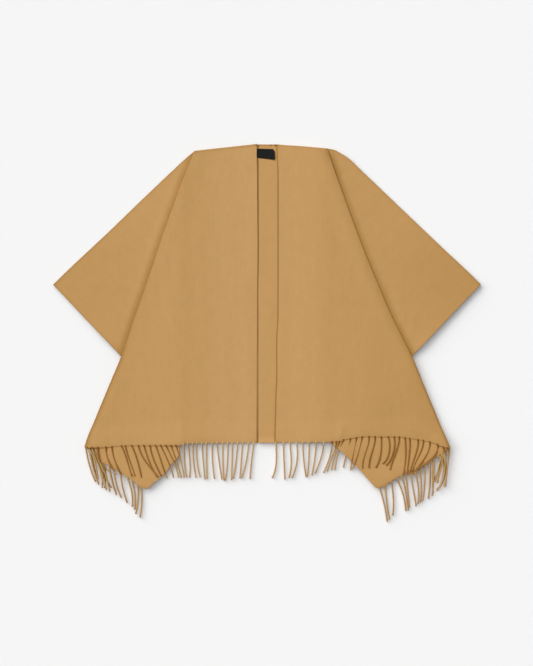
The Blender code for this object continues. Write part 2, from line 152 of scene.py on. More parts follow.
# Front edges of the open front: (y, distance outward from the strip's seam, lift off the back)
FRONT_EDGE = {
    "left": [(-400, 2.8, -0.4), (-276, 2.8, -0.4), (-245, 2.8, 0.2), (-190, 2.5, 0.4), (-150, 2.2, -0.1),
             (-100, 2.2, -0.4), (-55, 2.2, -0.3), (-20, 1.8, 0.0), (20, 1.4, -0.4), (100, 1.4, -0.4),
             (177, 0.4, 0.8), (242, 0.2, 1.3), (290, 0.7, 1.4), (333, 1.1, 1.9), (390, 1.5, 1.9),
             (425, 1.6, 1.4), (450, 2.6, 1.3), (478, 2.6, 1.0), (489, 1.0, 0.5)],
    "right": [(-400, -8.6, 2.0), (-282, -8.4, 2.0), (-226, -7.4, 1.6), (-190, -6.4, 1.6), (-155, -5.4, 1.4),
              (-120, -3.8, 1.2), (-10, -3.2, 1.2), (44, -0.4, 0.9), (110, 0.1, 0.8), (300, 0.2, 0.8),
              (410, 0.1, 0.8), (489, -3.6, 0.6)],
}
FRONT_EDGE_REACH = 34.0

# Soft swells of the front panels, across: (outward x, height), the same all the way down
PANEL_SWELL = {
    "left": [(26, 0.4), (45, 1.5), (75, 1.8), (120, 1.0), (165, 0.0), (190, 0.1), (235, 1.6), (290, 0.8),
             (360, 0.2), (480, 0.0)],
    "right": [(26, 0.0), (50, 0.2), (92, 1.2), (125, 1.3), (160, 0.6), (200, 0.4), (300, 0.5), (380, 0.2),
              (480, 0.0)],
}
# Soft ridges: level, from (x, y), to (x, y), half width, height
RIDGES = {
    "left": [
        ("front_panel", (222, -292), (226, -225), 9, 1.2),
        ("front_panel", (215, 420), (232, 120), 26, 0.7),
        ("front_panel", (300, 60), (318, -200), 40, 0.9),
        ("front_panel", (98, 380), (92, 60), 22, 0.6),
        ("front_panel", (118, 40), (110, -250), 26, 0.7),
        ("front_panel", (380, -90), (420, -270), 34, 0.8),
        ("front_sleeve", (300, 330), (430, 190), 30, 0.8),
        ("front_sleeve", (380, 120), (470, 150), 34, 0.9),
    ],
    "right": [
        ("front_panel", (196, -232), (184, -276), 9, 1.5),
        ("front_panel", (150, 300), (176, 60), 24, 0.6),
        ("front_panel", (240, 20), (262, -230), 34, 0.8),
        ("front_panel", (350, -120), (392, -262), 38, 1.0),
        ("front_panel", (78, 60), (84, -240), 20, 0.6),
        ("front_sleeve", (330, 150), (352, 20), 13, 0.9),
        ("front_sleeve", (300, 280), (440, 190), 34, 0.8),
        ("front_sleeve", (384, 60), (366, -18), 9, 0.8),
    ],
}
RIDGE_SLOPE, RIDGE_END = 1.6, 0.3   # how fast a ridge comes up from its ends, and from what share there
SLEEVE_LIFT, SLEEVE_LIFT_REACH = 2.4, 60.0          # the sleeve's open edge stands up
SLEEVE_WAVE, SLEEVE_WAVE_LENGTH = 0.25, 31.0        # by a share more and less along it
SLEEVE_RISE = {"left": 2.2, "right": 3.3}           # and the sleeve rises to it from further off
SLEEVE_RISE_REACH = 160.0
HIDDEN_RAMP = 40.0          # all this fades out towards the panel that lies on the sleeve
# Swelling of the two layers that meet in the slanted fold: (distance from the fold, height)
FOLD_SWELL = {
    "left": [(0, 1.3), (12, 1.2), (48, 0.0), (60, 0.0)],
    "right": [(0, 0.5), (6, 1.5), (16, 2.3), (34, 0.6), (50, 0.0)],
}
FOLD_SWELL_LOW = {"left": FOLD_SWELL["left"], "right": [(0, 1.7), (12, 1.9), (26, 1.5), (60, 0.0)]}
FOLD_SWELL_BLEND = (-90, -30)       # it is FOLD_SWELL_LOW below, and passes into the other between these y
FOLD_SWELL_FADE = (150, 300)        # and between these it goes down to its share near the shoulder
FOLD_SWELL_TOP = {"left": 1.0, "right": 0.45}
FOLD_SWELL_UPPER = 0.63     # share of it that the upper of the two layers has

# Painted shade of the cloth for the light's fall-off across it. Panels: (outward x, share). Sleeves:
# (distance from tip, share)
PANEL_PAINTED_SHADE = {
    "left": [(26, 1.0), (125, 0.995), (156, 0.975), (195, 0.955), (240, 0.96), (270, 0.965), (350, 0.95),
             (430, 0.94)],
    "right": [(26, 0.995), (60, 0.965), (90, 0.96), (120, 0.955), (151, 0.945), (200, 0.94), (250, 0.93),
              (307, 0.915), (343, 0.915), (400, 0.885), (440, 0.87)],
}
# sleeves are darker as a whole for their nap, and their painted shade grows towards the tip
SLEEVE_NAP_AND_PAINTED_SHADE = {
    "left": [(0, 0.925), (130, 0.93), (300, 0.965)],
    "right": [(0, 0.855), (130, 0.885), (215, 0.925), (400, 0.945)],
}
TURN_TONE = {"left": 0.95, "right": 0.93}
RIM_SHADE = 0.97            # cut edges are a little darker
FOLD_ROLL_SHADE_AND_HIGHLIGHT = {"left": 0.72, "right": 1.18}     # painted shade at the underside of the folds' rolls on the left, and a painted highlight there on the right
# Painted shade beside the slanted fold: (y, share on the panel, its reach there, share on the sleeve below)
FOLD_PAINTED_SHADE = {
    "left": [(-300, 0.30, 3.0, 0.26), (-70, 0.30, 3.0, 0.26), (-20, 0.10, 3.0, 0.26), (100, 0.08, 3.0, 0.25),
             (300, 0.05, 3.0, 0.22), (471, 0.05, 3.0, 0.20)],
    "right": [(-300, 0.30, 2.4, 0.30), (-90, 0.30, 2.4, 0.30), (-40, 0.14, 6.0, 0.29), (-20, 0.10, 8.0, 0.26),
              (30, 0.10, 8.0, 0.24), (200, 0.09, 8.0, 0.21), (330, 0.09, 8.0, 0.24), (400, 0.10, 8.0, 0.29),
              (440, 0.11, 8.0, 0.33), (460, 0.26, 8.0, 0.26), (470, 0.24, 8.0, 0.12), (477, 0.0, 8.0, 0.0)],
}
SLEEVE_PAINTED_SHADE_FROM = 3.0       # how far from the fold the sleeve's painted shade starts to fade, and over what distance
SLEEVE_PAINTED_SHADE_RAMP = {"left": 21.0, "right": 17.5}
# Painted shade along the front edges, on the panel's edge and on the strip beside it, where the edge's shadow
# falls
FRONT_PAINTED_SHADE = {"left": (0.17, 0.33), "right": (0.38, 0.34)}
FRONT_PAINTED_SHADE_REACH = 1.3
EDGE_PAINTED_SHADE = {"left": 0.17, "right": 0.12}        # painted shade along the neck and sleeve edges
EDGE_PAINTED_SHADE_REACH = 2.2
# Dark spots along the strip's neck edge: (x, y), with their shade and reach; those at the front edges are
# painted shade where these meet the neck
NECK_SPOTS = [(-25.0, 488.6), (7.5, 488.8), (17.6, 488.6), (21.6, 488.0)]
NECK_SPOT_SHADE, NECK_SPOT_REACH = 0.62, 2.2

# Label, on the strip just below the neck: corners (x, y) clockwise from the upper left, and how far its
# loose end stands up and from which x
LABEL = [(-41.5, 480.0), (17.0, 478.4), (18.5, 450.2), (-41.5, 457.0)]
LABEL_CURL = 2.0
LABEL_CURL_FROM = 2.0
LABEL_MARGIN = 16.0         # the front panel lies over its other end, and stays up for so far past it

# From the floor up, and the fringe that hangs from each kind
LEVELS = ["back_panel", "back_turn", "back_sleeve", "front_sleeve", "front_turn", "front_panel"]
FRINGE_OF = {"panel": "fringe", "turn": "corner_fringe"}
# Folds: upper level, lower level, line, outline that has the line as an edge, side that the roll is on
FOLDS = [("front_panel", "back_panel", "shoulder", "panel", -1),
         ("front_panel", "front_turn", "mountain", "turn", 1),
         ("back_turn", "back_panel", "mountain", "turn", 1),
         ("front_turn", "front_sleeve", "valley", "turn", -1),
         ("back_sleeve", "back_turn", "valley", "turn", -1),
         ("front_sleeve", "back_sleeve", "sleeve_top", "sleeve", 1)]

# Strands along the hem: (outward x of the root, outward x and y of the tip, lean at the root and at the
# tip in degrees outward from straight down)
HEM_STRANDS = {
    "left": [(471, 441, -380, -48, -12), (458, 428, -376, -12, -16), (442, 417, -375, 4, -32),
             (421, 396, -368, 4, -32), (406, 381, -372, -2, -26), (382, 354, -372, -26, -18),
             (371, 346, -372, -6, -14), (355, 329, -376, -24, -12), (337, 285, -374, -8, -42),
             (323, 288, -375, -14, -34), (307, 278, -372, -4, -26), (293, 263, -378, -22, -22),
             (280, 246, -376, -26, -12), (266, 233, -377, -24, -6), (253, 225, -377, -20, -14),
             (240, 218, -376, -20, -8), (220, 211, -376, -2, -13), (209, 204, -376, -8, 6),
             (196, 187, -377, 0, -12), (185, 176, -376, 6, -16), (172, 164, -381, -2, -6),
             (160, 158, -380, 0, -3), (145, 139, -380, 2, -10), (133, 120, -381, -4, -9),
             (118, 114, -384, 0, -6), (105, 111, -384, -1, 11), (93, 95, -383, 0, 2), (79, 90, -379, 3, 11),
             (66, 73, -379, 5, 5), (51, 68, -377, 1, 18), (37, 47, -380, 7, 4)],
    "right": [(20, 10, -377, 2, -30), (40, 44, -381, 0, 4), (56, 54, -377, 6, -18), (73, 62, -377, 12, -26),
              (90, 99, -375, 1, 11), (106, 102, -374, 3, -7), (125, 114, -371, -2, -11),
              (145, 122, -366, -3, -24), (166, 144, -364, 2, -24), (178, 154, -360, -6, -14),
              (186, 165, -357, -18, -8), (197, 174, -356, -26, -4), (214, 196, -350, -4, -4),
              (230, 214, -357, -6, -6), (245, 219, -354, -10, -24), (262, 246, -352, 6, 8),
              (278, 262, -351, 3, 5), (294, 279, -350, 2, -34), (312, 297, -340, 16, -54),
              (328, 306, -344, 6, -48), (341, 317, -356, -2, -10), (356, 351, -367, 3, -14),
              (368, 361, -366, 3, -4), (390, 368, -363, 2, -12), (404, 374, -361, -2, -14),
              (420, 380, -360, 8, -36), (440, 386, -355, 18, -54), (454, 438, -411, 14, -42),
              (466, 459, -401, 6, -10)],
}
# Along the turned hem, told in the same way
CORNER_STRANDS = {
    "left": [(474, 448, -387, -8, -26), (464, 439, -395, -6, -22), (460, 431, -403, -38, 6),
             (449, 420, -409, -26, -12), (434, 411, -413, -22, -10), (413, 394, -422, -4, -18),
             (402, 381, -429, -6, -26), (383, 366, -442, -2, -20), (367, 353, -452, -22, 6),
             (355, 347, -460, -18, 9), (339, 344, -471, -8, 14), (330, 333, -480, -6, 12)],
    "right": [(289, 310, -491, 20, 8), (304, 316, -485, 6, 12), (320, 324, -475, 10, -8),
              (332, 358, -463, 32, 3), (345, 365, -461, 26, 10), (357, 368, -454, 12, 8),
              (372, 385, -451, 4, 8), (383, 390, -445, 14, -8), (394, 396, -441, 8, -10),
              (406, 402, -437, 6, -10), (420, 417, -432, 4, -6), (431, 427, -424, 3, -5),
              (440, 440, -409, 60, -42), (448, 444, -404, 52, -38), (453, 434, -387, -14, -16),
              (459, 440, -391, -12, -12), (471, 461, -399, -5, -7)],
}
# Near the corner the strands of the layers below cross those above: between where, and how far and how
# many degrees they go to either side
SPLAY_FROM, SPLAY_TO, SPLAY_RAMP = 410.0, 470.0, 20.0
SPLAY = {"left": (5.0, 24.0), "right": (2.0, 9.0)}
BACK_SHIFT = 0.4            # and all of them are set outward by a little
STRAND_RINGS = 70
STRAND_SIDES = 10
STRAND_LAY = 12.5           # length in which the two plies turn once round each other
STRAND_TURN = 1.7           # each strand starts its twist so many radians after the last
PLY_WAIST, PLY_BULGE = 0.74, 0.27       # radius between the two plies, and what a ply adds
GROOVE_SHADE = 0.10
GRAIN_SHIFT = 131.0         # each strand has its own stretch of the yarn's grain
ROOT_TUCK = 3.0             # how far a strand starts inside the cloth's edge
ROOT_DROP = 16.0            # it comes down from there over this length
LIE_STEP, LIE_FROM, LIE_RAMP = 0.5, 20.0, 40.0      # then some lie a step or two higher than others
ON_CLOTH_RAMP = 5.0         # a strand counts as lying on cloth up to so far outside it, less and less
ROOT_BROAD, ROOT_BROAD_REACH = 0.45, 5.0            # the root is broader and flatter
ROOT_FLAT, ROOT_FLAT_REACH = 0.5, 6.0
STRAND_SHADE = 0.31         # painted shade: strands that lie on cloth are darker than it, and most so at their roots
ROOT_SHADE, ROOT_SHADE_REACH = 0.26, 11.0
HEM_LIGHT = 0.05            # off the cloth they are lighter, and at their roots more so: painted light against the hem's shadow on them
ROOT_LIGHT, ROOT_LIGHT_REACH = 0.17, 12.0
CORNER_SHADE = 0.05         # the corners' strands are darker
CORNER_BREADTH = 1.16       # and looser twisted, so as much broader
TIP_SWELL, TIP_SWELL_REACH = 0.12, 4.0
TIP_SHADE, TIP_SHADE_REACH = 0.22, 3.2
TIP_ROUND, TIP_LEAST = 1.9, 0.02        # length of a tip's rounding, and the square of what it ends at


# ---------------------------------------------------------------- small helpers

def eased(t):
    """From 0 to 1 with soft ends, for parts from 0 to 1."""
    return t * t * (3 - 2 * t)


def near(distance, reach):
    """1 at no distance, dying away over the reach."""
    return np.exp(-(distance / reach) ** 2)


def clamped(value):
    """The value kept between 0 and 1."""
    return np.clip(value, 0, 1)


def away_from(points, place):
    """Distance of each point from the place."""
    return np.hypot(*(points - place).T)


def left_of(way):
    """Unit steps to the left of the ways."""
    return np.stack([-way[:, 1], way[:, 0]], axis=1) / np.hypot(*way.T)[:, None]


def run_of(path):
    """Length of the path up to each of its points."""
    return np.concatenate([[0], np.cumsum(np.linalg.norm(np.diff(path, axis=0), axis=1))])


def hermite(t, start, end, leave, arrive):
    """The smooth curve from start to end, at parts t of the way, with its slopes at both ends."""
    return ((1 + 2 * t) * (1 - t) ** 2 * start + eased(t) * end
            + (t * (1 - t) ** 2 * leave + t * t * (t - 1) * arrive))


# ---------------------------------------------------------------- lines in plan

def smooth(rows, at):
    """Value of the smooth curve through rows of (place, value), level past its ends."""
    place, value = np.array(rows, float).T
    slope = np.gradient(value, place)
    k = np.clip(np.searchsorted(place, at, side="right") - 1, 0, len(place) - 2)
    span = place[k + 1] - place[k]
    return hermite(clamped((at - place[k]) / span), value[k], value[k + 1], span * slope[k],
                   span * slope[k + 1])


def bowed(start, end, rows):
    """Points from start to end, each set off to the left of the way by the bow's rows."""
    start = np.array(start, float)
    way = np.array(end, float) - start
    part = np.linspace(0, 1, max(2, round(np.hypot(*way) / EDGE_STEP)) + 1)
    return start + part[:, None] * way + smooth(rows, part)[:, None] * left_of(way[None])


def straight(start, end):
    return bowed(start, end, [(0, 0), (1, 0)])


def through(points):
    """A chain of straight runs through the points."""
    runs = [straight(a, b)[:-1] for a, b in zip(points[:-1], points[1:])]
    return np.vstack(runs + [np.array([points[-1]], float)])


def leave_notch(line, apex):
    """The line from the notch's rim outward, for a line that starts at the apex."""
    away = line[away_from(line, apex) > NOTCH * NOTCH_CLEAR]
    first = away[0] - apex
    return np.vstack([apex + NOTCH * first / np.hypot(*first), away])


def joined(*lines):
    """One closed outline from lines that follow each other, without the doubled points."""
    points = np.vstack(lines)
    step = np.hypot(*(points - np.roll(points, 1, axis=0)).T)
    return points[step > SAME_POINT]


def rim_arc(apex, start, end):
    """Points on the notch's rim between two rim points, counter-clockwise."""
    first = math.atan2(*(start - apex)[::-1])
    last = math.atan2(*(end - apex)[::-1])
    turn = (last - first) % (2 * math.pi)
    parts = max(1, round(turn / math.radians(NOTCH_STEP)))
    angles = first + turn * np.arange(1, parts) / parts
    return apex + NOTCH * np.stack([np.cos(angles), np.sin(angles)], axis=1)


def places_of(side):
    """The side's named places."""
    return {name: np.array(place) for name, place in PLACES[side].items()}


def plan_of(side):
    """Fold lines and edges, outlines of the layers and outlines of the fringes of one side."""
    at = places_of(side)
    apex, corner = at["apex"], at["hem_corner"]
    seam_top = np.array([STRIP_HALF + GAP / 2, NECK_Y])
    seam_foot = np.array([STRIP_HALF + GAP / 2, HEM_Y])
    lines = {
        "shoulder": leave_notch(straight(apex, seam_top), apex),
        "mountain": leave_notch(bowed(apex, corner, FOLD_BOW[side]), apex),
        "valley": leave_notch(straight(apex, at["valley_end"]), apex),
        "sleeve_top": leave_notch(bowed(apex, at["sleeve_tip"], SLEEVE_TOP_BOW[side]), apex),
        "sleeve_edge": straight(at["sleeve_tip"], at["valley_end"]),
        "selvedge": bowed(at["turned_corner"], at["valley_end"], SELVEDGE_BOW[side]),
        "hem": through([tuple(corner)] + HEM[side] + [tuple(seam_foot)]),
        "turned_hem": bowed(corner, at["turned_corner"], TURNED_HEM_BOW[side]),
        "front_edge": straight(seam_foot, seam_top),
    }
    shoulder, mountain = lines["shoulder"], lines["mountain"]
    valley, sleeve_top = lines["valley"], lines["sleeve_top"]
    outlines = {
        "panel": joined(shoulder[::-1], rim_arc(apex, shoulder[0], valley[0]), valley[:1], mountain,
                        lines["hem"], lines["front_edge"]),
        "turn": joined(mountain, lines["turned_hem"], lines["selvedge"], valley[::-1]),
        "sleeve": joined(sleeve_top, lines["sleeve_edge"], valley[::-1], mountain[:1],
                         rim_arc(apex, mountain[0], sleeve_top[0])),
    }
    reaches = {}
    for name, hem, ends in (("fringe", "hem", FRINGE_ENDS),
                            ("corner_fringe", "turned_hem", CORNER_FRINGE_ENDS)):
        hem, tips = lines[hem], through(ends[side][::-1])
        reaches[name] = joined(hem, straight(hem[-1], tips[0]), tips, straight(tips[-1], corner))
    return lines, outlines, reaches


# ---------------------------------------------------------------- distances

def in_chunks(work):
    """A function of points that is worked out a chunk of points at a time."""
    def whole(points, line):
        return np.concatenate([work(points[k:k + CHUNK], line) for k in range(0, len(points), CHUNK)])
    return whole


@in_chunks
def line_distance(points, line):
    """Distance from each point to the nearest place on the line."""
    starts = line[:-1]
    way = line[1:] - starts
    rel_x = points[:, 0, None] - starts[None, :, 0]
    rel_y = points[:, 1, None] - starts[None, :, 1]
    size = np.maximum((way ** 2).sum(-1), 1e-12)
    part = np.clip((rel_x * way[:, 0] + rel_y * way[:, 1]) / size, 0, 1)
    return np.sqrt(((rel_x - part * way[:, 0]) ** 2 + (rel_y - part * way[:, 1]) ** 2).min(axis=1))


def outline_distance(points, outline):
    """Distance from each point to the nearest place on the closed outline."""
    return line_distance(points, np.vstack([outline, outline[:1]]))


@in_chunks
def inside(points, outline):
    """Whether each point is inside the closed outline, by counting crossings."""
    x, y = points[:, None, 0], points[:, None, 1]
    ax, ay = outline.T
    bx, by = np.roll(outline, -1, axis=0).T
    spans = (ay > y) != (by > y)
    rise = np.where(by == ay, 1.0, by - ay)
    return (spans & (x < ax + (y - ay) * (bx - ax) / rise)).sum(axis=1) % 2 == 1


def how_far(points, outline):
    """Distance outside the outline, and 0 inside it."""
    return np.where(inside(points, outline), 0.0, outline_distance(points, outline))


def cover(far, reach, ramp):
    """1 where covered and a reach past it, then softly down to 0 over the ramp."""
    return 1 - eased(clamped((far - reach) / ramp))


# ---------------------------------------------------------------- stacking

def ridge(points, start, end, half_width, height):
    """A soft ridge from start to end that dies out at its ends."""
    start = np.array(start, float)
    way = np.array(end, float) - start
    length = np.hypot(*way)
    along = (points - start) @ way / length ** 2
    across = (points - start) @ np.array([-way[1], way[0]]) / length
    taper = eased(clamped((1 - np.abs(along - 0.5) * 2) * RIDGE_SLOPE + RIDGE_END))
    return height * taper * near(across, half_width)


def stack_heights(side, points, outlines, reaches, for_strands=False):
    """Underside of each of the six levels over the points, from the floor up."""
    far = {name: how_far(points, outline) for name, outline in {**outlines, **reaches}.items()}
    pleat_ramp, fringe_ramp = (PANEL_RAMP, FRINGE_RAMP) if for_strands else (TURN_RAMP[side], HEM_RAMP)
    heights = [np.zeros(len(points))]
    for level in LEVELS[:-1]:
        kind = level.split("_")[1]
        ramp = PANEL_RAMP if kind == "panel" else pleat_ramp
        depth = (WALL + GAP) * cover(far[kind], FOLD_REACH, ramp)
        if kind in FRINGE_OF:
            strands = (STRAND + STRAND_GAP) * cover(far[FRINGE_OF[kind]], FOLD_REACH, fringe_ramp)
            depth = np.maximum(depth, strands)
        heights.append(heights[-1] + depth)
    return heights


def dress(side, points, lines, outlines, heights):
    """Adds the soft ridges, swells and lifts to the stacked levels, each carried by those above."""
    x, y = points.T
    added = {level: np.zeros(len(points)) for level in LEVELS}
    for level, start, end, half_width, height in RIDGES[side]:
        added[level] += ridge(points, start, end, half_width, height)
    added["front_panel"] += smooth(PANEL_SWELL[side], x)
    beside_fold = line_distance(points, lines["mountain"])
    upper, lower = (smooth(rows[side], beside_fold) for rows in (FOLD_SWELL, FOLD_SWELL_LOW))
    swell = lower + (upper - lower) * np.interp(y, FOLD_SWELL_BLEND, (0.0, 1.0))
    swell = swell * np.interp(y, FOLD_SWELL_FADE, (1.0, FOLD_SWELL_TOP[side]))
    added["front_panel"] += FOLD_SWELL_UPPER * swell
    added["front_turn"] += (1 - FOLD_SWELL_UPPER) * swell
    edge = line_distance(points, lines["sleeve_edge"])
    wave = 1 - SLEEVE_WAVE + SLEEVE_WAVE * np.sin(x / SLEEVE_WAVE_LENGTH)
    lift = SLEEVE_LIFT * wave * clamped(1 - edge / SLEEVE_LIFT_REACH) ** 2
    rise = SLEEVE_RISE[side] * cover(edge, 0.0, SLEEVE_RISE_REACH)
    hidden = cover(how_far(points, outlines["panel"]), 0.0, HIDDEN_RAMP)
    added["front_sleeve"] += (lift + rise) * (1 - hidden)
    if side == "left":
        label = np.array([(-x, y) for x, y in LABEL])
        added["front_panel"] += (LABEL_WALL + GAP) * cover(how_far(points, label), LABEL_MARGIN, PANEL_RAMP)
    return list(np.array(heights) + np.cumsum([added[level] for level in LEVELS], axis=0))


def front_edge_at(side, y):
    """How far the front edge is set off from the strip's seam there, and how far it stands up."""
    places, *columns = zip(*FRONT_EDGE[side])
    return [smooth(list(zip(places, column)), y) for column in columns]


def bend_front_edge(side, points):
    """How far the top layer is set off beside its front edge, and how far it stands up."""
    inward = clamped(1 - (points[:, 0] - STRIP_HALF) / FRONT_EDGE_REACH) ** 2
    return [column * inward for column in front_edge_at(side, points[:, 1])]


# ---------------------------------------------------------------- triangles in plan

def beside(line, offset):
    """The line set off to its left."""
    return line + offset * left_of(np.gradient(line, axis=0))


def field_points(lines, outlines):
    """Rows of points beside every edge and fold, and a plain field of points elsewhere."""
    low = np.min([outline.min(axis=0) for outline in outlines.values()], axis=0)
    high = np.max([outline.max(axis=0) for outline in outlines.values()], axis=0)
    xs = np.arange(low[0], high[0], FIELD_STEP)
    ys = np.arange(low[1], high[1], FIELD_STEP * FIELD_ROW)
    x, y = np.meshgrid(xs, ys)
    x = x + (np.arange(len(ys)) % 2)[:, None] * FIELD_STEP / 2
    grid = np.stack([x.ravel(), y.ravel()], axis=1)
    found = [(np.vstack([beside(line, sign * row) for line in lines.values()]), row * ROW_CLEAR)
             for row in EDGE_ROWS for sign in (1, -1)]
    found.append((grid, EDGE_ROWS[-1] + FIELD_STEP * FIELD_CLEAR))
    kept = []
    for points, clear in found:
        within = np.any([inside(points, outline) for outline in outlines.values()], axis=0)
        points = points[within]
        beside_edge = np.min([outline_distance(points, outline) for outline in outlines.values()], axis=0)
        kept.append(points[beside_edge > clear])
    return np.vstack(kept)


def triangulate(outlines, extra):
    """One set of triangles that keeps every outline as edges: points, and corners of triangles."""
    coords, edges = [], []
    for outline in outlines:
        base = len(coords)
        coords += [Vector(point) for point in outline]
        count = len(outline)
        edges += [(base + k, base + (k + 1) % count) for k in range(count)]
    coords += [Vector(point) for point in extra]
    verts, _, faces, _, _, _ = delaunay_2d_cdt(coords, edges, [], 0, SAME_CORNER)
    return np.array([tuple(v) for v in verts]), np.array([tuple(f) for f in faces])


def rim_edges(faces):
    """Edges that only one of the triangles has, each with its two ends in that triangle's order."""
    pairs = np.concatenate([faces[:, [0, 1]], faces[:, [1, 2]], faces[:, [2, 0]]])
    low, high = pairs.min(axis=1), pairs.max(axis=1)
    key = low.astype(np.int64) * (faces.max() + 1) + high
    _, first, count = np.unique(key, return_index=True, return_counts=True)
    return pairs[first[count == 1]]


# ---------------------------------------------------------------- cloth shells

class Shell:
    """Points, faces and attributes of one piece of cloth or fringe, gathered part by part."""

    def __init__(self):
        self.points, self.grain, self.tone = [], [], []
        self.faces, self.count = [], 0

    def add_points(self, places, grain, tone):
        """Adds points and returns their numbers."""
        places = np.atleast_2d(places)
        numbers = np.arange(self.count, self.count + len(places))
        self.points.append(places)
        self.grain.append(np.broadcast_to(grain, (len(places), 2)))
        self.tone.append(np.broadcast_to(tone, (len(places),)))
        self.count += len(places)
        return numbers

    def face(self, *corners):
        distinct = list(dict.fromkeys(int(c) for c in corners))
        if len(distinct) > 2:
            self.faces.append(distinct)

    def build(self, name, material, mirrored=False):
        """The object, in metres, with every face turned outward."""
        points, grain, tone = (np.concatenate(rows) for rows in (self.points, self.grain, self.tone))
        places = points * MM * np.array([-1 if mirrored else 1, 1, 1])
        grain = np.column_stack([grain * MM, np.zeros(len(grain))])
        mesh = bpy.data.meshes.new(name)
        mesh.from_pydata(places.tolist(), [], self.faces)
        mesh.attributes.new("grain", "FLOAT_VECTOR", "POINT").data.foreach_set("vector", grain.ravel())
        mesh.attributes.new("tone", "FLOAT", "POINT").data.foreach_set("value", tone.astype(float))
        work = bmesh.new()
        work.from_mesh(mesh)
        bmesh.ops.triangulate(work, faces=[face for face in work.faces if len(face.verts) > 4])
        bmesh.ops.recalc_face_normals(work, faces=work.faces[:])
        if work.calc_volume(signed=True) < 0:
            bmesh.ops.reverse_faces(work, faces=work.faces[:])
        work.to_mesh(mesh)
        work.free()
        mesh.shade_smooth()
        mesh.set_sharp_from_angle(angle=math.radians(SHARP))
        mesh.materials.append(material)
        piece = bpy.data.objects.new(name, mesh)
        bpy.context.collection.objects.link(piece)
        return piece


def reflected(points, a, b):
    """The points mirrored across the line through a and b."""
    way = (b - a) / np.hypot(*(b - a))
    rel = points - a
    return a + 2 * (rel @ way)[:, None] * way - rel


def cloth_coords(side, points):
    """Where each plan point of each kind of layer lies in the unfolded cloth."""
    at = places_of(side)
    turned = reflected(points, at["apex"], at["hem_corner"])
    opened = reflected(points, at["apex"], at["valley_end"])
    return {"panel": points, "turn": turned, "sleeve": reflected(opened, at["apex"], at["hem_corner"])}


def lay_layer(shell, plan, faces, base, wall, grain, tone, folded):
    """A layer's two faces and its rounded cut edges. Edges between folded points stay open."""
    used = np.unique(faces)
    place = np.full(len(plan), -1)
    place[used] = np.arange(len(used))
    rim = rim_edges(faces)
    open_rim = np.array([edge for edge in rim if (min(edge), max(edge)) not in folded["edges"]])
    inward = np.zeros((len(plan), 2))
    if len(open_rim):
        side = left_of(plan[open_rim[:, 1]] - plan[open_rim[:, 0]])
        np.add.at(inward, open_rim[:, 0], side)
        np.add.at(inward, open_rim[:, 1], side)
    size = np.hypot(*inward.T)
    cut = size > 1e-6
    inward[cut] /= size[cut, None]
    cut[list(folded["points"])] = False
    inward[~cut] = 0
    tone = np.where(cut, RIM_SHADE, 1.0) * tone
    flat = plan + EDGE_INSET * inward
    under = shell.add_points(np.column_stack([flat[used], base[used]]), grain[used], tone[used])
    top = shell.add_points(np.column_stack([flat[used], (base + wall)[used]]), grain[used], tone[used])
    under_of, top_of = under[place], top[place]
    shell.faces += top_of[faces].tolist()
    shell.faces += under_of[faces][:, ::-1].tolist()
    middle_of = top_of.copy()
    for k in np.unique(open_rim):
        if cut[k]:
            middle_of[k] = shell.add_points((*plan[k], base[k] + wall[k] / 2), grain[k], tone[k])[0]
    for a, b in open_rim:
        shell.face(top_of[b], top_of[a], middle_of[a], middle_of[b])
        shell.face(middle_of[b], middle_of[a], under_of[a], under_of[b])
    return top_of, under_of


def fold_chain(rim, line, plan):
    """The rim points that lie on the line, in order along it, and their edges."""
    kept = rim[line_distance(plan[rim].mean(axis=1), line) < ON_LINE]
    order = sorted(np.unique(kept), key=lambda k: (np.argmin(away_from(line, plan[k])),
                                                   math.dist(plan[k], line[0])))
    return np.array(order), {(min(a, b), max(a, b)) for a, b in kept}


def add_fold(shell, upper, lower, chain, plan, side_sign, base, grain, tone, roll_painted_light):
    """A rolled fold along the chain, from the upper layer round to the lower one, with painted shade on its
    roll, and a painted highlight where the share is above 1.
    """
    line = plan[chain]
    way = np.gradient(line, axis=0)
    out = side_sign * left_of(way)
    top, foot = base[upper["level"]][chain] + WALL, base[lower["level"]][chain]
    middle, half = (top + foot) / 2, (top - foot) / 2
    away = clamped(away_from(line, line[0]) / SHOULDER_BLEND)
    bulge = np.minimum(half, SHOULDER_BULGE)
    if upper["level"] == "front_sleeve":
        bulge = bulge + (SHOULDER_BULGE - bulge) * (1 - away)
    rings = {}
    for part, inset in (("outer", 0.0), ("inner", WALL)):
        ring = np.zeros((FOLD_STEPS + 1, len(chain)), int)
        for turn in range(1, FOLD_STEPS):
            angle = math.pi * (0.5 - turn / FOLD_STEPS)
            reach = np.maximum(bulge - inset, FOLD_LEAST) * math.cos(angle)
            rise = middle + (half - inset) * math.sin(angle)
            spots = np.column_stack([line + reach[:, None] * out, rise])
            if upper["level"] == "front_sleeve" or lower["level"] == "back_panel":
                spots[0, :2] -= APEX_OVERLAP * way[0] / np.hypot(*way[0])
            shade = 1 - (1 - roll_painted_light) * min(1.0, 2 * turn / FOLD_STEPS) * away
            ring[turn] = shell.add_points(spots, grain[chain], tone[chain] * shade)
        ring[0] = upper["top" if part == "outer" else "under"][chain]
        ring[-1] = lower["under" if part == "outer" else "top"][chain]
        rings[part] = ring
        for turn in range(FOLD_STEPS):
            for k in range(len(chain) - 1):
                shell.face(ring[turn, k], ring[turn + 1, k], ring[turn + 1, k + 1], ring[turn, k + 1])
    for k in (0, len(chain) - 1):
        for turn in range(FOLD_STEPS):
            shell.face(rings["outer"][turn, k], rings["outer"][turn + 1, k], rings["inner"][turn + 1, k],
                       rings["inner"][turn, k])


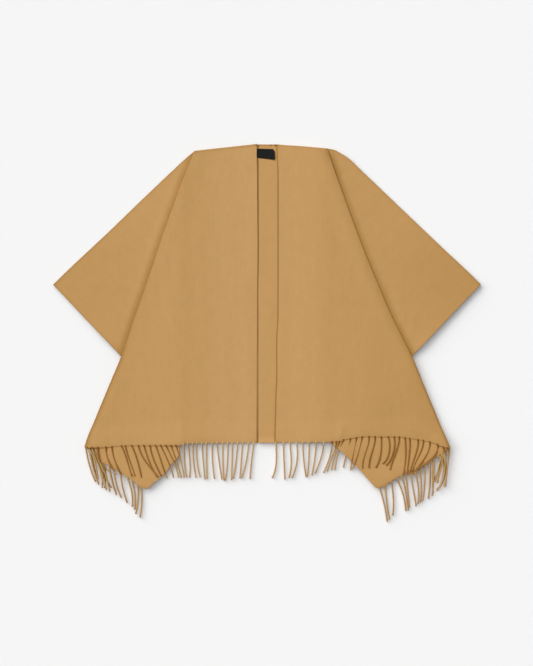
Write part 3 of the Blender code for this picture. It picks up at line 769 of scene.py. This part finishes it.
def make_cloth(side, material):
    """One length of cloth in its six layers."""
    lines, outlines, reaches = plan_of(side)
    plan, faces = triangulate(list(outlines.values()), field_points(lines, outlines))
    centres = plan[faces].mean(axis=1)
    area = {name: faces[inside(centres, outline)] for name, outline in outlines.items()}
    heights = dress(side, plan, lines, outlines, stack_heights(side, plan, outlines, reaches))
    shift, lift = bend_front_edge(side, plan)
    heights[-1] = heights[-1] + lift
    base = dict(zip(LEVELS, heights))
    top_plan = plan + np.stack([shift, np.zeros(len(plan))], axis=1)
    coords = cloth_coords(side, plan)
    tone = cloth_tones(side, plan, lines)

    rims = {name: rim_edges(area[name]) for name in outlines}
    folded = {level: {"edges": set(), "points": set()} for level in LEVELS}
    chains = []
    for upper, lower, line, owner, _ in FOLDS:
        chain, edges = fold_chain(rims[owner], lines[line], plan)
        chains.append(chain)
        for level in (upper, lower):
            folded[level]["edges"] |= edges
            folded[level]["points"] |= set(chain.tolist())
    shell = Shell()
    laid = {}
    thick = {kind: np.full(len(plan), WALL) for kind in outlines}
    for kind, hem in (("panel", "hem"), ("turn", "turned_hem")):
        from_corner = away_from(plan, PLACES[side]["hem_corner"])
        thin = HEM_THIN * near(line_distance(plan, lines[hem]), HEM_THIN_REACH)
        thick[kind] = WALL * (1 - thin * clamped((from_corner - HEM_THIN_FROM) / HEM_THIN_RAMP))
    for level in LEVELS:
        kind = level.split("_")[1]
        places = top_plan if level == "front_panel" else plan
        top, under = lay_layer(shell, places, area[kind], base[level], thick[kind], coords[kind],
                               tone[level], folded[level])
        laid[level] = {"top": top, "under": under, "level": level}
    for (upper, lower, line, owner, sign), chain in zip(FOLDS, chains):
        places = top_plan if line == "shoulder" else plan
        add_fold(shell, laid[upper], laid[lower], chain, places, sign, base, coords[owner], tone[upper],
                 FOLD_ROLL_SHADE_AND_HIGHLIGHT[side])
    return shell.build(side + "_cloth", material, side == "left"), lines, outlines, reaches


def cloth_tones(side, points, lines):
    """Shade of each level: the nap lies another way on each, and painted shade stands for the light's
    fall-off and lies beside folds and edges.
    """
    x, y = points.T
    turn = np.full(len(points), TURN_TONE[side])
    beside_fold = line_distance(points, lines["mountain"])
    # painted shade beside the slanted fold, on the panel and on the sleeve
    heights, *columns = zip(*FOLD_PAINTED_SHADE[side])
    on_panel, reach, on_sleeve = (np.interp(y, heights, column) for column in columns)
    below = 1 - on_panel * np.exp(-beside_fold / reach)
    edges = {name: 1 - EDGE_PAINTED_SHADE[side] * np.exp(-line_distance(points, lines[name]) / EDGE_PAINTED_SHADE_REACH)
             for name in ("shoulder", "sleeve_top", "sleeve_edge")}
    sleeve = smooth(SLEEVE_NAP_AND_PAINTED_SHADE[side], away_from(points, PLACES[side]["sleeve_tip"]))
    sleeve = sleeve * (1 - on_sleeve * cover(beside_fold, SLEEVE_PAINTED_SHADE_FROM, SLEEVE_PAINTED_SHADE_RAMP[side]))
    sleeve = sleeve * edges["sleeve_top"] * edges["sleeve_edge"]
    # painted shade along the panel's front edge
    front = 1 - FRONT_PAINTED_SHADE[side][0] * near(x - STRIP_HALF, FRONT_PAINTED_SHADE_REACH)
    if side == "left":
        # painted shade at the panel's top corner, where its front edge meets the neck
        from_neck_spot = away_from(points, (STRIP_HALF, NECK_SPOTS[0][1]))
        front = front * (1 - NECK_SPOT_SHADE * near(from_neck_spot, NECK_SPOT_REACH))
    panel = smooth(PANEL_PAINTED_SHADE[side], x)
    return {"back_panel": panel, "back_turn": turn, "back_sleeve": sleeve, "front_sleeve": sleeve,
            "front_turn": turn * below, "front_panel": panel * below * edges["shoulder"] * front}


# ---------------------------------------------------------------- strands

def strand_path(root, tip, start_lean, end_lean):
    """A smooth run from root to tip: the points, with ends that lean as told from straight down."""
    length = math.dist(root, tip)
    leave, arrive = (length * np.array([math.sin(lean), -math.cos(lean)]) for lean in (start_lean, end_lean))
    return hermite(np.linspace(0, 1, STRAND_RINGS)[:, None], np.array(root), np.array(tip), leave, arrive)


def strand_rows(table, hem):
    """Root, tip, start lean and end lean of every strand of one stretch."""
    hem_x, hem_y = hem[np.argsort(hem[:, 0])].T
    for root_x, tip_x, tip_y, start, end in table:
        root = (root_x, np.interp(root_x, hem_x, hem_y) + ROOT_TUCK)
        yield root, (tip_x, tip_y), math.radians(start), math.radians(end)


def strand_mesh(name, paths, shades, breadth, mirrored, material):
    """Twisted two-ply strands along the paths, joined as one mesh, each with its own shade along it."""
    shell = Shell()
    around = 2 * math.pi * np.arange(STRAND_SIDES) / STRAND_SIDES
    for number, (path, shade) in enumerate(zip(paths, shades)):
        step = np.gradient(path, axis=0)
        tangent = step / np.linalg.norm(step, axis=1)[:, None]
        side = np.cross(tangent, (0.0, 0.0, 1.0))
        side /= np.linalg.norm(side, axis=1)[:, None]
        up = np.cross(side, tangent)
        run = run_of(path)
        left = run[-1] - run
        twist = 2 * math.pi * run / STRAND_LAY + number * STRAND_TURN
        facing = around[None] - twist[:, None]
        radius = STRAND / 2 * (PLY_WAIST + PLY_BULGE * np.cos(facing) ** 2)
        cap = np.sqrt(np.clip(1 - (1 - clamped(left / TIP_ROUND)) ** 2, TIP_LEAST, 1))
        thick = ((1 + TIP_SWELL * near(left, TIP_SWELL_REACH)) * cap)[:, None] * radius
        wide = breadth + ROOT_BROAD * near(run, ROOT_BROAD_REACH)
        tall = 1 - ROOT_FLAT * near(run, ROOT_FLAT_REACH)
        rings = (path[:, None] + (thick * wide[:, None] * np.cos(around))[..., None] * side[:, None]
                 + (thick * tall[:, None] * np.sin(around))[..., None] * up[:, None])
        rings[..., 2] = np.maximum(rings[..., 2], 0.0)
        groove = 1 - GROOVE_SHADE * np.cos(facing - math.pi / 2) ** 2
        tone = groove * (shade * (1 - TIP_SHADE * near(left, TIP_SHADE_REACH)))[:, None]
        along = np.broadcast_to(run[:, None] + number * GRAIN_SHIFT, facing.shape)
        grain = np.stack([facing * STRAND / 2, along], axis=-1)
        index = shell.add_points(rings.reshape(-1, 3), grain.reshape(-1, 2), tone.ravel())
        index = index.reshape(STRAND_RINGS, STRAND_SIDES)
        turned = np.roll(index, -1, axis=1)
        quads = np.stack([index[:-1], turned[:-1], turned[1:], index[1:]], axis=-1).reshape(-1, 4)
        shell.faces += quads.tolist() + [index[0][::-1].tolist(), index[-1].tolist()]
    return shell.build(name, material, mirrored)


def splay(side, number, root, tip, start, end):
    """Tip and leans of a strand of the layers below: near the corner it crosses those above."""
    part = clamped(min(root[0] - SPLAY_FROM, SPLAY_TO - root[0]) / SPLAY_RAMP)
    spread, lean = SPLAY[side]
    turn = part * math.radians(lean) * (1 if number % 2 else -1)
    shift = part * spread * (1 if number % 2 else -1) + BACK_SHIFT
    shorter = part * spread * (1 + number % 3)
    return (tip[0] + shift, tip[1] + shorter), start - turn, end + turn


def make_fringes(side, lines, outlines, reaches, material):
    """The four stretches of strands of one side, by the name of the solid each stands for."""
    made = {}
    for name, level in (("back", 0), ("back_corner", 1), ("front_corner", 4), ("front", 5)):
        corner = "corner" in name
        paths, shades = [], []
        table, hem = (CORNER_STRANDS, "turned_hem") if corner else (HEM_STRANDS, "hem")
        for number, (root, tip, start, end) in enumerate(strand_rows(table[side], lines[hem])):
            if name.startswith("back"):
                tip, start, end = splay(side, number, root, tip, start, end)
            flat = strand_path(root, tip, start, end)
            ground = stack_heights(side, flat, outlines, reaches, for_strands=True)[level] + STRAND / 2
            clothed = dress(side, flat, lines, outlines, stack_heights(side, flat, outlines, reaches))[level]
            if name == "front":
                clothed = clothed + bend_front_edge(side, flat)[1]
            run = run_of(flat)
            down = eased(clamped(run / ROOT_DROP))
            rise = (clothed + WALL / 2) * (1 - down) + ground * down
            rise = rise + (number * 5 % 3) * LIE_STEP * clamped((run - LIE_FROM) / LIE_RAMP)
            paths.append(np.column_stack([flat, rise]))
            on_cloth = cover(how_far(flat, outlines["turn"]), 0.0, ON_CLOTH_RAMP) if name == "front" else 0.0
            # painted shade on strands that lie on cloth
            shade = 1 - (STRAND_SHADE + ROOT_SHADE * near(run, ROOT_SHADE_REACH)) * on_cloth
            if corner:
                shade = shade - CORNER_SHADE
            else:
                # painted light at the roots of hem strands, against the hem's shadow
                shade = shade + (HEM_LIGHT + ROOT_LIGHT * near(run, ROOT_LIGHT_REACH)) * (1 - on_cloth)
            shades.append(shade)
        breadth = CORNER_BREADTH if corner else 1.0
        made[name + "_fringe"] = strand_mesh(side + "_" + name + "_strands", paths, shades, breadth,
                                             side == "left", material)
    return made


# ---------------------------------------------------------------- strip and label

STRIP_THICKER = 0.2         # the strip against the cloth
# painted shade: the strip, lying lower between the front edges, is a little darker
STRIP_TONE = 0.985
STRIP_COLUMNS, STRIP_ROWS = 53, 190
NECK_ROWS, NECK_DEPTH = 27, 14.0            # closer rows near the neck, and how far down they start
NECK_BAND, NECK_BAND_RAMP = 4.5, 0.8        # the strip's turned edge at the neck: depth, step and rise
NECK_BAND_RISE = 0.6
NECK_ROLL, NECK_ROLL_REACH = 0.5, 1.2       # and how its rim is rounded off
NECK_DIM, NECK_DIM_AT, NECK_DIM_REACH = 0.20, 1.4, 1.5      # a darker line just below the neck edge: share, how far down, reach
SLACK, SLACK_WAVES = 0.25, (15.0, 46.0)     # soft waves of the strip below the neck
SLACK_FROM, SLACK_RAMP = 20.0, 60.0
HEM_CURL, HEM_CURL_REACH = 5.0, 18.0        # how far the strip's hem stands up, and from how far off
SHEET_INSET = 0.8           # the cut edges of strip and label are rounded by this share of the cloth's
STRIP_GRAIN = 900.0         # its own stretch of the cloth's grain

LABEL_SIZE = (60.0, 27.0)
LABEL_COLUMNS, LABEL_ROWS = 49, 25
LABEL_REST = 0.25           # air under the label besides the gaps
LABEL_ROUND = (1.6, 2.4)    # how far its loose corners are rounded off: both, and the upper one by more
LABEL_ROUND_FROM = 0.90     # over the last part of its length, by a power of the height, and a share down
LABEL_ROUND_POWER, LABEL_ROUND_DOWN = 5, 0.5
LABEL_WAVE, LABEL_WAVES = 0.18, (9.0, 2.0)  # soft waves of its loose end
LABEL_WAVE_FROM = 0.3


def sheet_grid(shell, xs, ys, under, top, grain_of, tone_of, place_of=None):
    """A closed sheet over a grid in plan, with rounded cut edges."""
    x, y = np.meshgrid(xs, ys)
    flat = np.stack([x.ravel(), y.ravel()], axis=1)
    spots = flat if place_of is None else place_of(flat)
    low, high = under(flat), top(flat)
    grain, tone = grain_of(flat), tone_of(flat)
    index = np.arange(len(flat)).reshape(len(ys), len(xs))
    border = np.concatenate([index[0], index[1:, -1], index[-1, -2::-1], index[-2:0:-1, 0]])
    loop = spots[border]
    inset = spots.copy()
    inset[border] += EDGE_INSET * SHEET_INSET * left_of(np.roll(loop, -1, axis=0) - np.roll(loop, 1, axis=0))
    bottom = shell.add_points(np.column_stack([inset, low]), grain, tone)
    upper = shell.add_points(np.column_stack([inset, high]), grain, tone)
    middle = shell.add_points(np.column_stack([loop, (low[border] + high[border]) / 2]), grain[border],
                              tone[border])
    quads = np.stack([index[:-1, :-1], index[:-1, 1:], index[1:, 1:], index[1:, :-1]], axis=-1).reshape(-1, 4)
    shell.faces += upper[quads].tolist()
    shell.faces += bottom[quads][:, ::-1].tolist()
    for a, b, near_a, near_b in zip(border, np.roll(border, -1), middle, np.roll(middle, -1)):
        shell.face(upper[b], upper[a], near_a, near_b)
        shell.face(near_b, near_a, bottom[a], bottom[b])


def make_strip(material):
    """The flat strip down the middle of the back, with its neck edge turned, a darker line along it and dark
    spots on it.
    """
    half = STRIP_HALF - GAP / 2
    xs = np.linspace(-half, half, STRIP_COLUMNS)
    ys = np.concatenate([np.linspace(HEM_Y, STRIP_TOP - NECK_DEPTH, STRIP_ROWS),
                         np.linspace(STRIP_TOP - NECK_DEPTH + 1, STRIP_TOP, NECK_ROWS)])

    def under(flat):
        return HEM_CURL * clamped(1 - (flat[:, 1] - HEM_Y) / HEM_CURL_REACH) ** 2

    def top(flat):
        x, y = flat.T
        far = STRIP_TOP - y
        band = NECK_BAND_RISE * clamped((NECK_BAND - far) / NECK_BAND_RAMP)
        roll = NECK_ROLL * clamped(1 - far / NECK_ROLL_REACH)
        slack = SLACK * np.sin(y / SLACK_WAVES[1]) * np.cos(x / SLACK_WAVES[0])
        slack = slack * clamped((far - SLACK_FROM) / SLACK_RAMP)
        return under(flat) + WALL + STRIP_THICKER + band - roll + slack

    def tone(flat):
        x, y = flat.T
        shade = STRIP_TONE - NECK_DIM * near(STRIP_TOP - y - NECK_DIM_AT, NECK_DIM_REACH)
        # dark spots along the neck edge, painted shade where the front edges meet it
        for spot in NECK_SPOTS:
            shade = shade * (1 - NECK_SPOT_SHADE * near(away_from(flat, spot), NECK_SPOT_REACH))
        # painted shadow of the front edges on the strip beside them
        for side, sign in (("left", -1), ("right", 1)):
            edge = STRIP_HALF + np.minimum(front_edge_at(side, y)[0], 0)
            shade = shade * (1 - FRONT_PAINTED_SHADE[side][1] * near(np.maximum(edge - sign * x, 0), FRONT_PAINTED_SHADE_REACH))
        return shade

    shell = Shell()
    sheet_grid(shell, xs, ys, under, top, lambda flat: flat + STRIP_GRAIN, tone)
    return shell.build("back_strip_cloth", material)


def make_label(material):
    """The bare label, flat on the strip, with its loose end a little raised and its corners rounded."""
    corners = np.array(LABEL)

    def place_of(flat):
        u, v = flat[:, 0:1], flat[:, 1:2]
        spot = (1 - v) * ((1 - u) * corners[3] + u * corners[2]) + v * ((1 - u) * corners[0] + u * corners[1])
        pull = (LABEL_ROUND[0] + LABEL_ROUND[1] * v) * (np.abs(v - 0.5) * 2) ** LABEL_ROUND_POWER
        pull = pull * clamped((u - LABEL_ROUND_FROM) / (1 - LABEL_ROUND_FROM)) ** 2
        return spot - np.concatenate([pull, pull * np.sign(v - 0.5) * LABEL_ROUND_DOWN], axis=1)

    def under(flat):
        past = clamped((place_of(flat)[:, 0] - LABEL_CURL_FROM) / (LABEL[1][0] - LABEL_CURL_FROM))
        wave = LABEL_WAVE * np.sin(flat @ np.array(LABEL_WAVES)) * clamped(flat[:, 0] - LABEL_WAVE_FROM)
        return WALL + 2 * GAP + LABEL_REST + LABEL_CURL * past ** 2 + wave

    shell = Shell()
    sheet_grid(shell, np.linspace(0, 1, LABEL_COLUMNS), np.linspace(0, 1, LABEL_ROWS), under,
               lambda flat: under(flat) + LABEL_WALL, lambda flat: flat * np.array(LABEL_SIZE),
               lambda flat: np.ones(len(flat)), place_of)
    return shell.build("label_woven", material)


# ---------------------------------------------------------------- materials

class Nodes:
    """A small helper that adds nodes and links to one material."""

    def __init__(self, name, **settings):
        self.material = bpy.data.materials.new(name)
        self.material.use_nodes = True
        self.tree = self.material.node_tree
        self.shader = self.tree.nodes["Principled BSDF"]
        for key, value in settings.items():
            self.shader.inputs[key.replace("_", " ")].default_value = value

    def add(self, kind, inputs=(), **settings):
        node = self.tree.nodes.new("ShaderNode" + kind)
        for key, value in settings.items():
            setattr(node, key, value)
        for slot, value in dict(inputs).items():
            if isinstance(value, bpy.types.NodeSocket):
                self.tree.links.new(value, node.inputs[slot])
            else:
                node.inputs[slot].default_value = value
        return node

    def link(self, **outputs):
        for key, out in outputs.items():
            self.tree.links.new(out, self.shader.inputs[key.replace("_", " ")])

    def stored(self, name, output):
        """What the mesh holds under the name."""
        return self.add("Attribute", attribute_name=name).outputs[output]

    def math(self, operation, first, *more):
        """The operation on the first value and the next, then on the result and the next again."""
        for value in more:
            first = self.add("Math", {0: first, 1: value}, operation=operation).outputs[0]
        return first

    def noise(self, vector, scale, detail=2.0, roughness=0.5):
        return self.add("TexNoise", {"Vector": vector, "Scale": scale, "Detail": detail,
                                     "Roughness": roughness}).outputs["Fac"]

    def stretched(self, vector, x, y, turn=0.0):
        return self.add("Mapping", {"Vector": vector, "Rotation": (0, 0, turn),
                                    "Scale": (x, y, 1.0)}).outputs[0]

    def spread(self, value, amount):
        """1 plus the value's distance from its middle, times the amount."""
        centred = self.math("SUBTRACT", value, 0.5)
        return self.math("ADD", self.math("MULTIPLY", centred, amount), 1.0)

    def blend(self, part, low, high):
        """A colour between two others."""
        node = self.add("Mix", {"Factor": part}, data_type="RGBA", blend_type="MIX")
        node.inputs["A"].default_value = (*low, 1)
        node.inputs["B"].default_value = (*high, 1)
        return node.outputs["Result"]

    def between(self, value, low, high):
        return self.add("MapRange", {"Value": value, "To Min": low, "To Max": high}).outputs[0]

    def bump(self, height, strength, distance):
        return self.add("Bump", {"Height": height, "Strength": strength, "Distance": distance}).outputs[0]


def wool_material(name, colour, strands=False):
    """Brushed wool twill: faint streaks along the warp, soft mottling, fine nap over a hidden twill."""
    n = Nodes(name, Sheen_Weight=0.18, Sheen_Roughness=0.45, Sheen_Tint=(1.0, 0.86, 0.66, 1),
              Specular_IOR_Level=0.18)
    grain = n.stored("grain", "Vector")
    tone = n.stored("tone", "Fac")
    streak = n.noise(n.stretched(grain, 260, 9), 1.0, 3.0, 0.6)
    broad = n.noise(n.stretched(grain, 45, 6), 1.0)
    mottle = n.noise(n.stretched(grain, 48, 30), 1.0, 4.0, 0.8)
    fibre = n.noise(n.stretched(grain, 1500, 420, turn=0.12), 1.0, 3.0, 0.65)
    fuzz = n.noise(grain, 900.0, 4.0, 0.7)
    shade = n.math("MULTIPLY", n.spread(streak, 0.075), n.spread(broad, 0.05), n.spread(mottle, 0.18),
                   n.spread(fibre, 0.16 if strands else 0.12), tone)
    colour = np.array(colour)
    warm = n.blend(fuzz, colour * (0.985, 1.0, 1.05), colour * (1.015, 1.0, 0.95))
    tinted = n.add("VectorMath", {0: warm, "Scale": shade}, operation="SCALE").outputs[0]
    # Where the tone paints shade the wool turns redder, as shade between warm wool does: its green and blue
    # fall off further, by these powers of the tone
    green, blue = (0.72, 2.0) if strands else (0.2, 1.1)
    deeper = n.add("CombineXYZ", {"X": 1.0, "Y": n.math("POWER", tone, green),
                                  "Z": n.math("POWER", tone, blue)}).outputs[0]
    warmer = n.add("VectorMath", {0: tinted, 1: deeper}, operation="MULTIPLY").outputs[0]
    twill = n.add("TexWave", {"Vector": n.stretched(grain, 1, 1, turn=0.9), "Scale": 130.0,
                              "Distortion": 3.0, "Detail": 2.0}, wave_type="BANDS").outputs["Fac"]
    relief = n.math("ADD", n.math("MULTIPLY", fibre, 0.9), n.math("MULTIPLY", fuzz, 0.6),
                    n.math("MULTIPLY", twill, 0.12), n.math("MULTIPLY", streak, 0.5))
    n.link(Base_Color=warmer, Roughness=n.between(fibre, 0.84, 0.98), Normal=n.bump(relief, 0.35, 0.00035))
    return n.material


def label_material():
    """Black woven ribbon with fine ribs across."""
    n = Nodes("label_ribbon", Specular_IOR_Level=0.06)
    grain = n.stored("grain", "Vector")
    rib = n.add("TexWave", {"Vector": grain, "Scale": 420.0, "Distortion": 0.4}, wave_type="BANDS",
                bands_direction="Y").outputs["Fac"]
    thread = n.noise(n.stretched(grain, 2600, 300), 1.0, 3.0)
    mixed = n.math("MULTIPLY", rib, thread, n.noise(grain, 120.0))
    relief = n.math("ADD", rib, n.math("MULTIPLY", thread, 0.5))
    n.link(Base_Color=n.blend(mixed, (0.009, 0.010, 0.010), (0.049, 0.052, 0.050)),
           Roughness=n.between(thread, 0.66, 0.84), Normal=n.bump(relief, 0.4, 0.00015))
    return n.material


def floor_material():
    """Plain pale paper."""
    n = Nodes("floor_paper", Roughness=1.0, Specular_IOR_Level=0.0)
    cloud = n.noise(n.add("TexCoord").outputs["Object"], 3.0)
    n.link(Base_Color=n.blend(cloud, [FLOOR_SHADE - FLOOR_CLOUD] * 3, [FLOOR_SHADE + FLOOR_CLOUD] * 3))
    return n.material


# ---------------------------------------------------------------- floor, lights, camera

FLOOR_SHADE, FLOOR_CLOUD = 0.798, 0.0016
FLOOR_HALF = 25.0
FLOOR_BELOW = 0.0004            # the paper lies this far below the cloth
VIEW_HEIGHT = 1.7316            # what the camera takes in from top to bottom, in metres
CAMERA_RISE = 6.0
SENSOR = 36.0
CLOTH_MIDDLE = 0.006            # the height that the view is measured at
AIM = (-0.0010, -0.0003)        # from the middle of the solids to the middle of the view
WHITE, WARM, COOL = (1.0, 1.0, 1.0), (1.05, 0.96, 0.62), (0.95, 1.04, 1.38)
# Soft lights on all but the floor, and on the floor alone: name, azimuth, elevation, level, spread, colour
CLOTH_SUNS = [("key", 225.0, 38.0, 1.35, 26.0, COOL), ("top", 200.0, 78.0, 0.75, 60.0, WARM),
              ("fill", 0.0, 90.0, 0.60, 150.0, WARM)]
FLOOR_SUNS = [("floor_top", 200.0, 78.0, 0.75, 60.0, WHITE), ("floor_fill", 0.0, 90.0, 0.60, 150.0, WHITE)]
# From each of these azimuths come a low and a middle light that give the floor its wide shadow
LOW_AZIMUTHS = (195.0, 225.0, 255.0)
LOW_SUN, MIDDLE_SUN = (19.0, 0.42, 28.0, WHITE), (36.0, 0.24, 26.0, WHITE)
SKY_LEVEL = 0.3


def make_stage():
    half = FLOOR_HALF
    mesh = bpy.data.meshes.new("floor")
    mesh.from_pydata([(-half, -half, 0), (half, -half, 0), (half, half, 0), (-half, half, 0)], [],
                     [(0, 1, 2, 3)])
    floor = bpy.data.objects.new("floor", mesh)
    floor.location.z = -FLOOR_BELOW
    mesh.materials.append(floor_material())
    bpy.context.collection.objects.link(floor)
    return floor


def add_sun(name, azimuth, elevation, level, spread, colour):
    """A far soft light, by what a level surface gets of it, and its light linking.

    Azimuth 0 is below the view, 90 at its right.
    """
    light = bpy.data.lights.new(name, "SUN")
    light.energy = level / math.sin(math.radians(elevation))
    light.angle = math.radians(spread)
    light.color = colour
    lamp = bpy.data.objects.new(name, light)
    a, e = math.radians(azimuth), math.radians(elevation)
    back = Vector((math.sin(a) * math.cos(e), -math.cos(a) * math.cos(e), math.sin(e)))
    lamp.rotation_mode = "QUATERNION"
    lamp.rotation_quaternion = back.to_track_quat("Z", "Y")
    bpy.context.collection.objects.link(lamp)
    return lamp.light_linking


def linked(name, pieces, state):
    """A collection that light linking includes or leaves out."""
    group = bpy.data.collections.new(name)
    for piece in pieces:
        group.objects.link(piece)
    for member in group.collection_objects:
        member.light_linking.link_state = state
    return group


def make_lights(floor, strands):
    """The soft lights, and a dim even sky.

    The strands cast no shadow of the outer low lights: theirs would fill the gaps between them.
    """
    on_floor = linked("floor_only", [floor], "INCLUDE")
    off_floor = linked("all_but_floor", [floor], "EXCLUDE")
    not_strands = linked("all_but_strands", strands, "EXCLUDE")
    for sun in CLOTH_SUNS:
        add_sun(*sun).receiver_collection = off_floor
    floor_suns = [add_sun(*sun) for sun in FLOOR_SUNS]
    for azimuth in LOW_AZIMUTHS:
        low = add_sun(f"low_{azimuth:.0f}", azimuth, *LOW_SUN)
        if azimuth != LOW_AZIMUTHS[1]:
            low.blocker_collection = not_strands
        floor_suns += [low, add_sun(f"middle_{azimuth:.0f}", azimuth, *MIDDLE_SUN)]
    for linking in floor_suns:
        linking.receiver_collection = on_floor
    world = bpy.data.worlds.new("studio")
    bpy.context.scene.world = world
    world.use_nodes = True
    sky = world.node_tree.nodes["Background"]
    sky.inputs["Color"].default_value = (*WHITE, 1)
    sky.inputs["Strength"].default_value = SKY_LEVEL / math.pi


def make_camera(low, high):
    data = bpy.data.cameras.new("camera")
    data.sensor_fit = "AUTO"
    data.sensor_width = SENSOR
    data.lens = SENSOR * CAMERA_RISE / VIEW_HEIGHT
    data.clip_start, data.clip_end = 0.1, 50.0
    camera = bpy.data.objects.new("camera", data)
    middle = (low + high) / 2
    camera.location = (middle.x + AIM[0], middle.y + AIM[1], CLOTH_MIDDLE + CAMERA_RISE)
    bpy.context.collection.objects.link(camera)
    bpy.context.scene.camera = camera
    bpy.context.scene.view_settings.view_transform = "Standard"
    bpy.context.scene.view_settings.look = "None"


# ---------------------------------------------------------------- the whole

CAMEL = (0.589, 0.336, 0.128)
CAMEL_STRIP = (0.574, 0.325, 0.120)
CAMEL_STRANDS = (0.540, 0.344, 0.138)

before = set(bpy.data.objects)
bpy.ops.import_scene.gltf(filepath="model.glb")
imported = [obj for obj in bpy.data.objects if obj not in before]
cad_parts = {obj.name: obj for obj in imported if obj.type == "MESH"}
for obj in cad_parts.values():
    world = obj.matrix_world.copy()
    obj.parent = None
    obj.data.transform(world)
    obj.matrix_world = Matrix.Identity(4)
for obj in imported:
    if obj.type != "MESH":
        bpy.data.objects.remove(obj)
cad_low, cad_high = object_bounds()
make_camera(cad_low, cad_high)
floor = make_stage()

wool = wool_material("camel_wool", CAMEL)
strip_wool = wool_material("strip_wool", CAMEL_STRIP)
strand_wool = wool_material("strand_wool", CAMEL_STRANDS, strands=True)

all_strands = []
for side in ("left", "right"):
    cloth, lines, outlines, reaches = make_cloth(side, wool)
    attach(cloth, "root")
    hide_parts(side + "_panel")
    strands = []
    for node, piece in make_fringes(side, lines, outlines, reaches, strand_wool).items():
        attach(piece, "root")
        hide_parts(side + "_" + node)
        strands.append(piece)
    all_strands += strands

strip = make_strip(strip_wool)
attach(strip, "root")
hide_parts("back_strip")

label = make_label(label_material())
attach(label, "root")
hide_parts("label")

make_lights(floor, all_strands)
